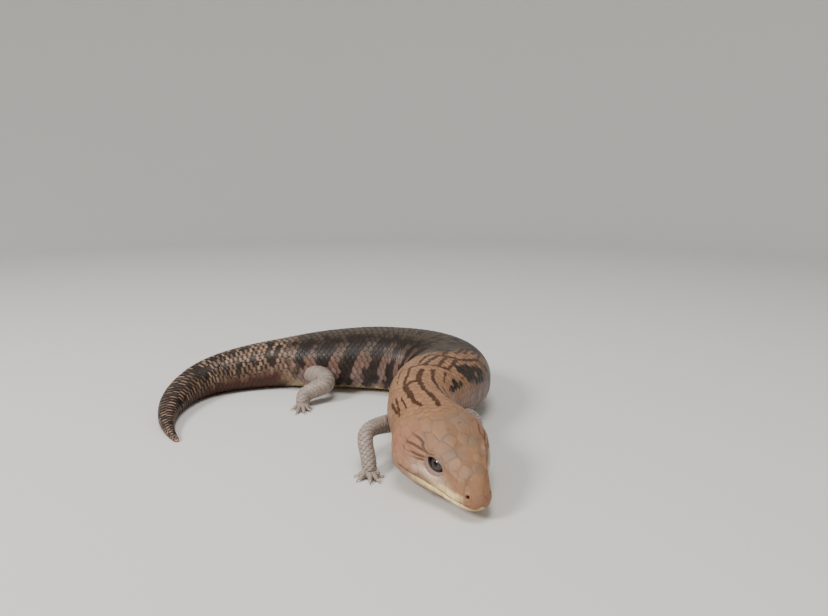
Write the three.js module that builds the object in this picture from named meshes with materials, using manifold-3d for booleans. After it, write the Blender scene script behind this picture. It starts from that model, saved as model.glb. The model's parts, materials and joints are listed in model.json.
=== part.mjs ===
// A blue tongued skink at life size, resting on its belly in a hook shape: the tail curls away to one
// side, the trunk turns back on itself, and the lowered head comes forward past the right foreleg.
// Lengths are in millimetres, +Z is up, and the animal looks along -Y. The origin is on the floor,
// under the middle of the whole animal.

import * as THREE from 'three';
import { mergeVertices } from 'three/addons/utils/BufferGeometryUtils.js';
import Module from 'manifold-3d';

const wasm = await Module();
wasm.setup();

// The animal along its middle line, from the snout's tip to the tail's tip.
const LENGTH = 512;
const SNOUT = [100.03, -147.76];
const REST_FROM = 175;
const PRESS = 0.8;
const SNOUT_ROUND = 14;
const TAIL_ROUND = 4;

// Pieces of the body and where each ends, with the spacing of its rings.
const GAP = 0.3;
const BODY_PIECES = [
  ['neck', 76, 118, 3.5],
  ['torso_front', 118, 165, 4.7],
  ['torso_middle', 165, 215, 4.2],
  ['torso_rear', 215, 268, 5.3],
  ['hips', 268, 338, 5.8],
  ['tail_base', 338, 392, 5.4],
  ['tail_middle', 392, 446, 5],
  ['tail_tip', 446, 512, 5],
];
const BODY_SIDES = 24;
const HEAD_END = 76;
const HEAD_STEP = 2.1;
const HEAD_SIDES = 36;
const HEAD_CROWDING = 0.4;

// Which way the middle line runs at each distance from the snout, in degrees anticlockwise from +X.
const heading = curve([
  [0, 112.2], [62, 112.2], [78, 105.4], [98, 85.5], [123, 70.2], [150, 67.4], [183, 96],
  [218, 138], [256, 169.5], [306, 178.5], [350, 191.5], [376, 202], [400, 221], [420, 245],
  [440, 264], [458, 277], [476, 289], [491, 300], [512, 313],
]);

// The section at each distance: its half width, and its back, widest level and belly, all measured
// from the middle line.
const halfWidth = curve([
  [0, 9.6], [10, 10.8], [20, 14.3], [27, 18.2], [38, 24.6], [48, 28], [54, 28.3], [62, 26],
  [72, 22.2], [84, 21], [98, 21.2], [118, 25.5], [150, 29.5], [190, 32.5], [240, 34], [285, 32.5],
  [325, 26.5], [345, 21.8], [375, 19], [400, 16.4], [430, 12.2], [460, 8.2], [490, 4.1], [512, 1.6],
]);
const back = curve([
  [0, 10.2], [10, 12.8], [20, 15], [30, 17.2], [45, 20.7], [58, 22.2], [72, 21.5], [90, 20.3],
  [118, 22], [150, 24.2], [200, 24.6], [265, 24.2], [300, 22.8], [340, 20], [375, 17.8],
  [400, 15.4], [430, 11.4], [460, 7.7], [490, 3.9], [512, 1.5],
]);
const belly = curve([
  [0, -6], [10, -6.8], [20, -9.9], [35, -15], [50, -14.8], [62, -13.9], [78, -15.5], [100, -18.5],
  [130, -22.2], [170, -24.5], [210, -25], [260, -25], [300, -23.2], [340, -20], [375, -17],
  [400, -14.6], [430, -10.7], [460, -7.2], [490, -3.8], [512, -1.5],
]);
const level = curve([[0, 2], [15, 0], [30, -1], [45, -2.5], [60, -2], [80, 0], [512, 0]]);
const BACK_POWER = 2.2;
const BELLY_POWER = 2.35;

// How high the middle line is held ahead of the stretch that rests on its belly.
const lift = curve([
  [0, 7.8], [62, 23.3], [85, 27.5], [110, 29.5], [150, 26.6], [REST_FROM, -belly(REST_FROM) - PRESS],
]);

// Swellings and hollows of each side of the head: distance from the snout, height over the middle
// line, spread along and across, and how far the skin stands out.
const RELIEF = [
  { name: 'brow', along: 25, up: 14.4, length: 9, width: 2.6, proud: 0.9 },
  { name: 'edge of the snout', along: 13, up: 11, length: 8, width: 1.8, proud: 0.6 },
  { name: 'hollow before the eye', along: 15, up: 4.5, length: 6.5, width: 3.2, proud: -0.7 },
  { name: 'temple', along: 40, up: 12, length: 8, width: 3.5, proud: 0.5 },
];
const mouth = curve([
  [-6, -0.4], [0, -0.4], [3, 0.7], [6, 0.8], [12, -0.3], [20, -1], [32, -1], [42, -1.6], [48, -1.4],
]);
const MOUTH_CORNER = 47;
const JAW_REAR = 50;
const UPPER_LIP = { up: 1.7, width: 1.3, proud: 0.5 };
const LOWER_LIP = { up: -1.8, width: 1.4, proud: 0.4 };

const EYE = { along: 27.5, up: 10, radius: 5.4, lid: 0.55, bulge: 0.35, opening: [10.6, 5.4] };
const EYE_TURN = { forward: 24, up: 24 };
const NOSTRIL = { along: 4.6, up: 5.6, radius: 1, depth: 1.4 };
const EAR = { along: 67.5, up: -1.5, length: 2.6, height: 5.4, depth: 2.4 };

const SKIN = {
  head: '#b98f6e', jaw: '#d8c5a2', neck: '#a98763', trunk: '#7d6650', tail: '#4b3d33',
  limb: '#a39384', eye: '#2a2422',
};

// Smooth interpolation through listed points, without overshoot.
function curve(points) {
  const count = points.length;
  const span = [];
  const rise = [];
  for (let i = 0; i + 1 < count; i += 1) {
    span.push(points[i + 1][0] - points[i][0]);
    rise.push((points[i + 1][1] - points[i][1]) / span[i]);
  }
  const slope = new Array(count).fill(0);
  slope[0] = rise[0];
  slope[count - 1] = rise[count - 2];
  for (let i = 1; i + 1 < count; i += 1) {
    if (rise[i - 1] * rise[i] > 0) {
      const before = 2 * span[i] + span[i - 1];
      const after = span[i] + 2 * span[i - 1];
      slope[i] = (before + after) / (before / rise[i - 1] + after / rise[i]);
    }
  }
  return (x) => {
    const at = THREE.MathUtils.clamp(x, points[0][0], points[count - 1][0]);
    let i = 0;
    while (i < count - 2 && at >= points[i + 1][0]) i += 1;
    const t = (at - points[i][0]) / span[i];
    const rest = 1 - t;
    return (1 + 2 * t) * rest * rest * points[i][1] + t * rest * rest * span[i] * slope[i]
      + t * t * (3 - 2 * t) * points[i + 1][1] - t * t * rest * span[i] * slope[i + 1];
  };
}

// The middle line, one frame for each millimetre: its place and the directions back, left and up.
function traceSpine() {
  const frames = [];
  const place = new THREE.Vector3(SNOUT[0], SNOUT[1], 0);
  const height = (s) => (s < REST_FROM ? lift(s) : -belly(s) - PRESS);
  for (let s = 0; s <= LENGTH; s += 1) {
    const near = Math.max(s - 1, 0);
    const far = Math.min(s + 1, LENGTH);
    const pitch = Math.asin((height(far) - height(near)) / (far - near));
    const turn = THREE.MathUtils.degToRad(heading(s));
    const along = new THREE.Vector3(
      Math.cos(turn) * Math.cos(pitch), Math.sin(turn) * Math.cos(pitch), Math.sin(pitch));
    const left = new THREE.Vector3(Math.sin(turn), -Math.cos(turn), 0);
    if (s > 0) {
      const step = frames[s - 1].along.clone().add(along).multiplyScalar(0.5);
      place.x += step.x;
      place.y += step.y;
    }
    place.z = height(s);
    frames.push({ place: place.clone(), along, left, up: along.clone().cross(left).negate() });
  }
  for (const frame of frames) {
    if (frame.up.z < 0) frame.up.negate();
  }
  return frames;
}

const spine = traceSpine();

function spineAt(s) {
  const at = THREE.MathUtils.clamp(s, 0, LENGTH);
  const i = Math.min(Math.floor(at), LENGTH - 1);
  const blend = (key) => spine[i][key].clone().lerp(spine[i + 1][key], at - i);
  const frame = { place: blend('place'), along: blend('along'), left: blend('left'), up: blend('up') };
  frame.place.addScaledVector(frame.along, s - at);
  return frame;
}

// A point given by its distance from the snout and its offsets to the animal's left and up.
function inBody(s, left, up) {
  const frame = spineAt(s);
  return frame.place.addScaledVector(frame.left, left).addScaledVector(frame.up, up);
}

function hump(x, spread) {
  return Math.exp(-((x / spread) ** 2));
}

// How far the skin of the head stands out from its plain oval section.
function relief(s, up) {
  let proud = 0;
  for (const form of RELIEF) {
    proud += form.proud * hump(s - form.along, form.length) * hump(up - form.up, form.width);
  }
  const fade = THREE.MathUtils.smoothstep(MOUTH_CORNER + 6 - s, 0, 10);
  for (const lip of [UPPER_LIP, LOWER_LIP]) {
    proud += lip.proud * fade * hump(up - mouth(s) - lip.up, lip.width);
  }
  return proud;
}

// The section at a distance from the snout: the turn runs from 0 at the back over the animal's left
// side and under the belly. Growth makes the whole section larger by that much.
function skinPoint(s, turn, growth = 0) {
  const nose = Math.min(s / SNOUT_ROUND, 1);
  const tip = Math.min((LENGTH - s) / TAIL_ROUND, 1);
  const round = Math.sqrt(1 - (1 - nose) ** 2) * Math.sqrt(1 - (1 - tip) ** 2);
  const angle = 2 * Math.PI * turn;
  const upper = Math.cos(angle) >= 0;
  const power = upper ? BACK_POWER : BELLY_POWER;
  const wide = halfWidth(s) * round + growth;
  const tall = (upper ? back(s) - level(s) : level(s) - belly(s)) * round + growth;
  const sideways = Math.abs(Math.sin(angle)) ** (2 / power);
  const upward = Math.abs(Math.cos(angle)) ** (2 / power);
  let left = Math.sign(Math.sin(angle)) * wide * sideways;
  let up = level(s) + Math.sign(Math.cos(angle)) * tall * upward;
  if (s < HEAD_END && round > 0) {
    const out = new THREE.Vector2(
      Math.sign(left) * sideways ** (power - 1) / wide,
      Math.sign(Math.cos(angle)) * upward ** (power - 1) / tall).normalize();
    const proud = relief(s, up) * round;
    left += out.x * proud;
    up += out.y * proud;
  }
  const point = inBody(s, left, up);
  point.z = Math.max(point.z, 0);
  return point;
}

// The turn at which the head's right (-1) or left (1) side reaches a height over the middle line.
function turnAtHeight(s, up, side) {
  let low = 0;
  let high = 0.5;
  const frame = spineAt(s);
  for (let i = 0; i < 30; i += 1) {
    const middle = (low + high) / 2;
    const offset = skinPoint(s, middle).sub(frame.place).dot(frame.up);
    if (offset > up) low = middle;
    else high = middle;
  }
  return side > 0 ? low : 1 - low;
}

// A closed body through rings of points. A ring of one point is a tip, and a wider end gets a cap.
function loft(rings) {
  const positions = [];
  const faces = [];
  const add = (point) => {
    positions.push(point.x, point.y, point.z);
    return positions.length / 3 - 1;
  };
  const numbered = rings.map((ring) => ring.map(add));
  const at = (ring, j) => ring[j % ring.length];
  for (let i = 0; i + 1 < rings.length; i += 1) {
    const [near, far] = [numbered[i], numbered[i + 1]];
    for (let j = 0; j < Math.max(near.length, far.length); j += 1) {
      if (near.length > 1) faces.push([at(near, j), at(near, j + 1), at(far, j)]);
      if (far.length > 1) faces.push([at(near, j + 1), at(far, j + 1), at(far, j)]);
    }
  }
  for (const [ring, points, flip] of [[numbered[0], rings[0], true], [numbered.at(-1), rings.at(-1), false]]) {
    if (ring.length === 1) continue;
    const middle = points.reduce((sum, p) => sum.add(p), new THREE.Vector3()).divideScalar(points.length);
    const hub = add(middle);
    for (let j = 0; j < ring.length; j += 1) {
      faces.push(flip ? [hub, at(ring, j + 1), at(ring, j)] : [hub, at(ring, j), at(ring, j + 1)]);
    }
  }
  const geometry = new THREE.BufferGeometry();
  geometry.setAttribute('position', new THREE.Float32BufferAttribute(positions, 3));
  geometry.setIndex(enclosed(positions, faces) < 0 ? faces.map((f) => [f[0], f[2], f[1]]).flat() : faces.flat());
  return geometry;
}

function enclosed(positions, faces) {
  const corner = (i) => new THREE.Vector3().fromArray(positions, 3 * i);
  let volume = 0;
  for (const [a, b, c] of faces) volume += corner(a).dot(corner(b).cross(corner(c)));
  return volume;
}

// A length of the body between two distances from the snout.
function bodyLength(from, to, step, sides, growth = 0, crowding = 0) {
  const rings = [];
  const count = Math.max(2, Math.round((to - from) / step));
  for (let i = 0; i <= count; i += 1) {
    const s = from + ((to - from) * i) / count;
    if (s === 0 || s === LENGTH) {
      rings.push([inBody(s, 0, level(s))]);
      continue;
    }
    const ring = [];
    for (let j = 0; j < sides; j += 1) {
      const x = j / sides;
      const turn = x + (crowding * Math.sin(4 * Math.PI * x)) / (4 * Math.PI);
      ring.push(skinPoint(s, turn, growth));
    }
    rings.push(ring);
  }
  return rings;
}

function toSolid(geometry) {
  const bare = geometry.clone();
  bare.deleteAttribute('normal');
  bare.deleteAttribute('uv');
  const merged = mergeVertices(bare, 1e-5);
  return new wasm.Manifold(new wasm.Mesh({
    numProp: 3,
    vertProperties: new Float32Array(merged.attributes.position.array),
    triVerts: new Uint32Array(merged.index.array),
  }));
}

function toGeometry(solid) {
  const mesh = solid.getMesh();
  const geometry = new THREE.BufferGeometry();
  geometry.setAttribute('position', new THREE.BufferAttribute(new Float32Array(mesh.vertProperties), 3));
  geometry.setIndex(new THREE.BufferAttribute(new Uint32Array(mesh.triVerts), 1));
  return geometry;
}

// The separate closed bodies of a solid, largest first.
function pieces(solid) {
  return solid.decompose().sort((a, b) => b.volume() - a.volume());
}

const animal = new THREE.Group();

function place(name, geometry, color, roughness = 0.6) {
  const mesh = new THREE.Mesh(geometry, new THREE.MeshStandardMaterial({ color, roughness, metalness: 0 }));
  mesh.name = name;
  geometry.computeVertexNormals();
  animal.add(mesh);
  return mesh;
}

// A ball stretched along three directions.
function oval(middle, radii, axes, around = 16, over = 10) {
  const matrix = new THREE.Matrix4().makeBasis(...axes.map((axis, i) => axis.clone().multiplyScalar(radii[i])));
  return new THREE.SphereGeometry(1, around, over).applyMatrix4(matrix.setPosition(middle));
}

// The eye's place in the head: its middle, which way it looks and the line from its rear to its front
// corner.
function eyePlace(side) {
  const frame = spineAt(EYE.along);
  const forward = frame.along.clone().negate();
  const outward = frame.left.clone().multiplyScalar(side);
  const [turn, raise] = [EYE_TURN.forward, EYE_TURN.up].map(THREE.MathUtils.degToRad);
  const look = outward.multiplyScalar(Math.cos(turn)).addScaledVector(forward, Math.sin(turn))
    .multiplyScalar(Math.cos(raise)).addScaledVector(frame.up, Math.sin(raise)).normalize();
  const spot = skinPoint(EYE.along, turnAtHeight(EYE.along, EYE.up, side));
  const middle = spot.addScaledVector(look, EYE.bulge - EYE.lid - EYE.radius);
  const slit = forward.addScaledVector(look, -forward.dot(look)).normalize();
  return { middle, look, slit, brow: look.clone().cross(slit).normalize() };
}

// The almond between the lids, cut from the eyeball outwards.
function lidOpening({ middle, look, slit, brow }) {
  const [long, high] = EYE.opening;
  const almond = new THREE.Shape();
  almond.moveTo(-long / 2, 0);
  almond.quadraticCurveTo(0, high, long / 2, 0);
  almond.quadraticCurveTo(0, -high, -long / 2, 0);
  const cut = new THREE.ExtrudeGeometry(almond, { depth: 2 * EYE.radius, bevelEnabled: false, curveSegments: 6 });
  return cut.applyMatrix4(new THREE.Matrix4().makeBasis(slit, brow, look).setPosition(middle));
}

// A thin sheet across the head, along the mouth and then down behind the jaw.
function mouthSheet() {
  const reach = 40;
  const path = [];
  for (let s = -6; s < MOUTH_CORNER; s += 3) path.push([s, mouth(s)]);
  path.push([JAW_REAR - 1.6, mouth(JAW_REAR) - 0.6], [JAW_REAR - 0.4, mouth(JAW_REAR) - 2.2]);
  path.push([JAW_REAR, mouth(JAW_REAR) - 5], [JAW_REAR + 0.5, -30]);
  const rings = path.map(([s, up], i) => {
    const [s0, u0] = path[Math.max(i - 1, 0)];
    const [s1, u1] = path[Math.min(i + 1, path.length - 1)];
    const size = Math.hypot(s1 - s0, u1 - u0);
    const [ds, du] = [(-(u1 - u0) / size) * (GAP / 2), ((s1 - s0) / size) * (GAP / 2)];
    return [
      inBody(s + ds, reach, up + du), inBody(s - ds, reach, up - du),
      inBody(s - ds, -reach, up - du), inBody(s + ds, -reach, up + du),
    ];
  });
  return loft(rings);
}

function buildHead() {
  const rings = bodyLength(0, HEAD_END - GAP / 2, HEAD_STEP, HEAD_SIDES, 0, HEAD_CROWDING);
  const first = bodyLength(0, HEAD_STEP, HEAD_STEP / 3, HEAD_SIDES, 0, HEAD_CROWDING);
  let head = toSolid(loft([...first.slice(0, -1), ...rings.slice(1)]));
  for (const side of [-1, 1]) {
    const eye = eyePlace(side);
    const axes = [eye.slit, eye.brow, eye.look];
    const lid = EYE.radius + EYE.lid;
    head = head.add(toSolid(oval(eye.middle, [lid, lid, lid], axes)));
    const socket = EYE.radius + GAP;
    head = head.subtract(toSolid(oval(eye.middle, [socket, socket, socket], axes, 14, 10)));
    head = head.subtract(toSolid(lidOpening(eye)));
    const frame = spineAt(EAR.along);
    const ear = skinPoint(EAR.along, turnAtHeight(EAR.along, EAR.up, side));
    const level = [frame.along, frame.up, frame.left];
    const cup = oval(ear, [EAR.length / 2, EAR.height / 2, EAR.depth], level, 12, 8);
    head = head.subtract(toSolid(cup));
    const nose = skinPoint(NOSTRIL.along, turnAtHeight(NOSTRIL.along, NOSTRIL.up, side));
    const pit = oval(nose, [NOSTRIL.radius, NOSTRIL.radius, NOSTRIL.depth], level, 8, 6);
    head = head.subtract(toSolid(pit));
    const ball = place(side > 0 ? 'eye_left' : 'eye_right', new THREE.SphereGeometry(EYE.radius, 16, 10),
      SKIN.eye, 0.1);
    ball.position.copy(eye.middle);
  }
  const [skull, jaw] = pieces(head.subtract(toSolid(mouthSheet())));
  place('head', toGeometry(skull), SKIN.head);
  place('lower_jaw', toGeometry(jaw), SKIN.jaw);
}

function buildBody() {
  for (const [name, from, to, step] of BODY_PIECES) {
    const end = to === LENGTH ? to : to - GAP / 2;
    const color = name === 'neck' ? SKIN.neck : name.startsWith('tail') ? SKIN.tail : SKIN.trunk;
    place(name, loft(bodyLength(from + GAP / 2, end, step, BODY_SIDES)), color);
  }
}

// Legs. Joints and soles are measured from the snout's tip, with joints' heights over the floor. A toe
// is its direction in degrees and its length.
const LEG_SIDES = 12;
const TOE_SIDES = 7;
const CLAW = { length: 3, radius: 0.75, sides: 5 };
const FORE = {
  names: ['upper_arm', 'forearm', 'hand'],
  thick: [[0, 6.5], [0.3, 4.9], [0.55, 4.6], [0.8, 4.5], [1, 4.3]],
  palm: [4.9, 2.8],
  toe: [1.8, 1.3],
};
const HIND = {
  names: ['thigh', 'shank', 'foot'],
  thick: [[0, 10], [0.3, 8], [0.55, 6.2], [0.8, 5.4], [1, 4.8]],
  palm: [5, 2.9],
  toe: [1.9, 1.35],
};
const LEGS = [
  {
    side: 'right', kind: FORE, joints: [[-44.1, 93.7, 17.5], [-63.1, 66.7, 20], [-60.9, 54.7, 8]],
    sole: [-60.1, 51.2], toes: [[345, 9], [304, 12], [276, 11.5], [228, 11], [192, 9.5]],
  },
  {
    side: 'left', kind: FORE, joints: [[-20.1, 95.7, 19], [4.4, 105.7, 15], [6.4, 89.7, 8]],
    sole: [6.4, 85.7], toes: [[200, 9], [238, 11], [270, 12], [300, 11.5], [335, 9]],
  },
  {
    side: 'right', kind: HIND, joints: [[-127.1, 216.7, 16], [-104.1, 177.7, 14], [-118.1, 166.7, 8]],
    sole: [-119.1, 161.7], toes: [[335, 9], [308, 12.5], [285, 15], [262, 16], [222, 10.5]],
  },
  {
    side: 'left', kind: HIND, joints: [[-126.1, 225.7, 16], [-103.1, 264.7, 14], [-117.1, 275.7, 8]],
    sole: [-118.1, 280.7], toes: [[25, 9], [52, 12.5], [75, 15], [98, 16], [138, 10.5]],
  },
];

// Rings of an oval tube along a path, as wide and as tall as the two functions say.
function tubeRings(path, from, to, steps, sides, wide, tall) {
  const rings = [];
  for (let i = 0; i <= steps; i += 1) {
    const u = from + ((to - from) * i) / steps;
    const centre = path.getPoint(u);
    const along = path.getTangent(u);
    const across = new THREE.Vector3(0, 0, 1).cross(along).normalize();
    const normal = along.clone().cross(across).normalize();
    const ring = [];
    for (let j = 0; j < sides; j += 1) {
      const angle = (2 * Math.PI * j) / sides;
      const point = centre.clone().addScaledVector(across, wide(u) * Math.cos(angle))
        .addScaledVector(normal, tall(u) * Math.sin(angle));
      point.z = Math.max(point.z, 0);
      ring.push(point);
    }
    rings.push(ring);
  }
  return rings;
}

function fromSnout([x, y, z]) {
  return new THREE.Vector3(SNOUT[0] + x, SNOUT[1] + y, z);
}

function buildFoot(leg, ankle) {
  const { kind } = leg;
  const [wide, thick] = kind.palm;
  const sole = fromSnout([...leg.sole, thick - 0.5]);
  const axes = [new THREE.Vector3(1, 0, 0), new THREE.Vector3(0, 1, 0), new THREE.Vector3(0, 0, 1)];
  const flat = (geometry) => {
    const { position } = geometry.attributes;
    for (let i = 0; i < position.count; i += 1) position.setZ(i, Math.max(position.getZ(i), 0));
    return geometry;
  };
  let foot = toSolid(flat(oval(sole, [wide, wide, thick], axes, 12, 6)));
  foot = foot.add(ankle);
  for (const [degrees, length] of leg.toes) {
    const turn = THREE.MathUtils.degToRad(degrees);
    const out = (distance, z) => new THREE.Vector3(
      sole.x + distance * Math.cos(turn), sole.y + distance * Math.sin(turn), z);
    const [root, end] = kind.toe;
    const path = new THREE.CatmullRomCurve3([
      out(1, thick - 0.4), out(0.45 * length, root + 0.9), out(length - CLAW.length, end + 0.1),
    ]);
    const taper = (u) => root + (end - root) * u;
    const toe = tubeRings(path, 0, 1, 4, TOE_SIDES, taper, taper);
    toe.push([out(length - CLAW.length + end, end - 0.1)]);
    foot = foot.add(toSolid(loft(toe)));
    const claw = new THREE.CatmullRomCurve3([
      out(length - CLAW.length - 0.5, end + 0.5), out(length - 0.5 * CLAW.length, end + 0.6), out(length, 0.35),
    ]);
    const point = (u) => CLAW.radius * (1 - 0.75 * u);
    foot = foot.add(toSolid(loft(tubeRings(claw, 0, 1, 2, CLAW.sides, point, point))));
  }
  return foot;
}

function buildLeg(leg, trunk) {
  const { kind } = leg;
  const [root, bend, wrist] = leg.joints.map(fromSnout);
  const palm = fromSnout([...leg.sole, kind.palm[1] - 0.4]);
  const path = new THREE.CatmullRomCurve3([root, bend, wrist, palm], false, 'centripetal');
  const thick = curve(kind.thick);
  const parts = [0, 0.47, 0.84, 1];
  const margin = 0.5 * GAP / path.getLength();
  const length = (from, to, steps, growth = 0) => {
    const radius = (u) => thick(u) + growth;
    return toSolid(loft(tubeRings(path, from, to, steps, LEG_SIDES, radius, radius)));
  };
  const upper = length(parts[0], parts[1] - margin, 8).subtract(trunk);
  const lower = length(parts[1] + margin, parts[2] - margin, 6);
  const room = length(parts[1], parts[2] + margin, 6, GAP);
  const foot = buildFoot(leg, length(parts[2] + margin, 0.99, 3)).subtract(room);
  [upper, lower, foot].forEach((solid, i) => {
    place(`${kind.names[i]}_${leg.side}`, toGeometry(pieces(solid)[0]), SKIN.limb);
  });
}

function buildLegs() {
  const trunk = toSolid(loft(bodyLength(HEAD_END, LENGTH - 40, 5, BODY_SIDES, GAP)));
  for (const leg of LEGS) buildLeg(leg, trunk);
}

buildHead();
buildBody();
buildLegs();

export default animal;
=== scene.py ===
import json
import math

import bmesh
import bpy
import numpy as np
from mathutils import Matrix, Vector
from mathutils.kdtree import KDTree

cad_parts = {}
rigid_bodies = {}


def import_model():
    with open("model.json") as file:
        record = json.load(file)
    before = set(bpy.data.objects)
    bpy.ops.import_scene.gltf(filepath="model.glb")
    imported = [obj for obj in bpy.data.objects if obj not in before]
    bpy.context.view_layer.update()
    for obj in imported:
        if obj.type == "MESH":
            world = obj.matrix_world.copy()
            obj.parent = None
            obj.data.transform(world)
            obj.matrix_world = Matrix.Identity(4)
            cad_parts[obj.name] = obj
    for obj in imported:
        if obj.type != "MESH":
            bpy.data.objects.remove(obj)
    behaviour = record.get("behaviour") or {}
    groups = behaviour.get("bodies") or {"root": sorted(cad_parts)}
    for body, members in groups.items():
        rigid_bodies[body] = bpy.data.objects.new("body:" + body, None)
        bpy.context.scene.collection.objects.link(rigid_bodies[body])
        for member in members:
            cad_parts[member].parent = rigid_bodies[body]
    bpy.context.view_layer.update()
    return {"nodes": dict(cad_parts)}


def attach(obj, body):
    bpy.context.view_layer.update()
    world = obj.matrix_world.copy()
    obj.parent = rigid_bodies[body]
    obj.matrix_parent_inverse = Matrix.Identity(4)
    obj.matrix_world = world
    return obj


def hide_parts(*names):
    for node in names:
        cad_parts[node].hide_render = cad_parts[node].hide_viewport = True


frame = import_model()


# The view is a phone's, held some 17 cm over the floor and 29 cm ahead of the snout, looking down at
# the head by 12 degrees. Places are measured from the snout's tip, in metres here.
SNOUT = Vector((0.10003, -0.14776, 0))
VIEW_FROM_SNOUT = Vector((-0.0341, -0.2863, 0.173))
VIEW_DOWN = 12
LENS = 27.04

view = bpy.data.objects.new("view", bpy.data.cameras.new("view"))
view.data.lens = LENS
view.data.sensor_width = 36
view.data.clip_start = 0.01
view.location = SNOUT + VIEW_FROM_SNOUT
view.rotation_euler = (math.radians(90 - VIEW_DOWN), 0, 0)
bpy.context.scene.collection.objects.link(view)
bpy.context.scene.camera = view


# The body is one tube of flesh along a backbone that lies in a hook. A place on it is a distance from
# the snout in millimetres and a turn round the body: 0 is the middle of the back, 0.25 the animal's
# left side, 0.5 the belly and 0.75 its right side.
MM = 0.001
LENGTH = 512
HEAD_END = 76
SNOUT_ROUND = 14
TAIL_ROUND = 4
BACK_POWER = 2.2
BELLY_POWER = 2.35

# Behind REST_FROM the belly lies on the floor, pressed flat by PRESS. There the backbone's height is
# evened out over EASE to both sides, and from EASE_FROM on its slope is taken over that length.
REST_FROM = 175
PRESS = 0.8
EASE_FROM = 130
EASE = 8


def curve(points):
    """Smooth interpolation through the listed points, without overshoot."""
    x, y = np.array(points, dtype=float).T
    span = np.diff(x)
    rise = np.diff(y) / span
    slope = np.zeros(len(x))
    slope[0] = rise[0]
    slope[-1] = rise[-1]
    for i in range(1, len(x) - 1):
        if rise[i - 1] * rise[i] > 0:
            before = 2 * span[i] + span[i - 1]
            after = span[i] + 2 * span[i - 1]
            slope[i] = (before + after) / (before / rise[i - 1] + after / rise[i])

    def at(where):
        where = np.clip(where, x[0], x[-1])
        i = np.clip(np.searchsorted(x, where, side="right") - 1, 0, len(x) - 2)
        t = (where - x[i]) / span[i]
        rest = 1 - t
        return ((1 + 2 * t) * rest**2 * y[i] + t * rest**2 * span[i] * slope[i]
                + t * t * (3 - 2 * t) * y[i + 1] - t * t * rest * span[i] * slope[i + 1])

    return at


# The backbone's direction is in degrees anticlockwise from +X. Heights of the section are measured
# from the backbone: its back, its widest level, its belly and the slit of the mouth.
heading = curve([
    (0, 112.2), (62, 112.2), (78, 105.4), (98, 85.5), (123, 70.2), (150, 67.4), (183, 96),
    (218, 138), (256, 169.5), (306, 178.5), (350, 191.5), (376, 202), (400, 221), (420, 245),
    (440, 264), (458, 277), (476, 289), (491, 300), (512, 313)])
half_width = curve([
    (0, 9.6), (10, 10.8), (20, 14.3), (27, 18.2), (38, 24.6), (48, 28), (54, 28.3), (62, 26),
    (72, 22.2), (84, 21), (98, 21.2), (118, 25.5), (150, 29.5), (190, 32.5), (240, 34), (285, 32.5),
    (325, 26.5), (345, 21.8), (375, 19), (400, 16.4), (430, 12.2), (460, 8.2), (490, 4.1), (512, 1.6)])
back = curve([
    (0, 10.2), (10, 12.8), (20, 15), (30, 17.2), (45, 20.7), (58, 22.2), (72, 21.5), (90, 20.3),
    (118, 22), (150, 24.2), (200, 24.6), (265, 24.2), (300, 22.8), (340, 20), (375, 17.8),
    (400, 15.4), (430, 11.4), (460, 7.7), (490, 3.9), (512, 1.5)])
belly = curve([
    (0, -6), (10, -6.8), (20, -9.9), (35, -15), (50, -14.8), (62, -13.9), (78, -15.5), (100, -18.5),
    (130, -22.2), (170, -24.5), (210, -25), (260, -25), (300, -23.2), (340, -20), (375, -17),
    (400, -14.6), (430, -10.7), (460, -7.2), (490, -3.8), (512, -1.5)])
level = curve([(0, 2), (15, 0), (30, -1), (45, -2.5), (60, -2), (80, 0), (512, 0)])
lift = curve([(0, 7.8), (62, 23.3), (85, 27.5), (110, 29.5), (150, 26.6),
              (REST_FROM, float(-belly(REST_FROM)) - PRESS)])
mouth = curve([
    (-6, -0.4), (0, -0.4), (3, 0.7), (6, 0.8), (12, -0.3), (20, -1), (32, -1), (42, -1.6), (48, -1.4)])
MOUTH_CORNER = 47
MOUTH_FADE = 6

# Brow, edge of the snout, hollow before the eye and temple: where each is, its spread, and how far it
# stands out.
HEAD_FORMS = [
    dict(along=25, up=14.4, length=9, width=2.6, proud=0.9),
    dict(along=13, up=11, length=8, width=1.8, proud=0.6),
    dict(along=15, up=4.5, length=6.5, width=3.2, proud=-0.7),
    dict(along=40, up=12, length=8, width=3.5, proud=0.5),
]
LIPS = [dict(up=1.7, width=1.3, proud=0.5), dict(up=-1.8, width=1.4, proud=0.4)]


def hump(x, spread):
    """A smooth rise to 1 where x is 0, which has died away at twice the spread."""
    return np.exp(-((x / spread) ** 2))


def trace_spine():
    """The backbone at each millimetre: its place and the directions back, left and up."""
    s = np.arange(LENGTH + 1.0)
    height = np.where(s < REST_FROM, lift(s), -belly(s) - PRESS)
    window = np.full(2 * EASE + 1, 1 / (2 * EASE + 1))
    eased = np.convolve(np.pad(height, EASE, mode="edge"), window, "valid")
    height += hump(s - REST_FROM, 1.5 * EASE) * (eased - height)
    reach = np.where(s < EASE_FROM, 1, EASE)
    near = np.maximum(s - reach, 0).astype(int)
    far = np.minimum(s + reach, LENGTH).astype(int)
    pitch = np.arcsin((height[far] - height[near]) / (far - near))
    turn = np.radians(heading(s))
    along = np.stack([np.cos(turn) * np.cos(pitch), np.sin(turn) * np.cos(pitch), np.sin(pitch)], 1)
    left = np.stack([np.sin(turn), -np.cos(turn), 0 * turn], 1)
    up = -np.cross(along, left)
    up *= np.sign(up[:, 2:])
    step = (along[1:] + along[:-1]) / 2
    place = np.zeros((LENGTH + 1, 3))
    place[:, :2] = np.array(SNOUT)[:2] / MM
    place[1:, :2] += np.cumsum(step[:, :2], 0)
    place[:, 2] = height
    return np.concatenate([place, along, left, up], 1)


spine = trace_spine()


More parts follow.
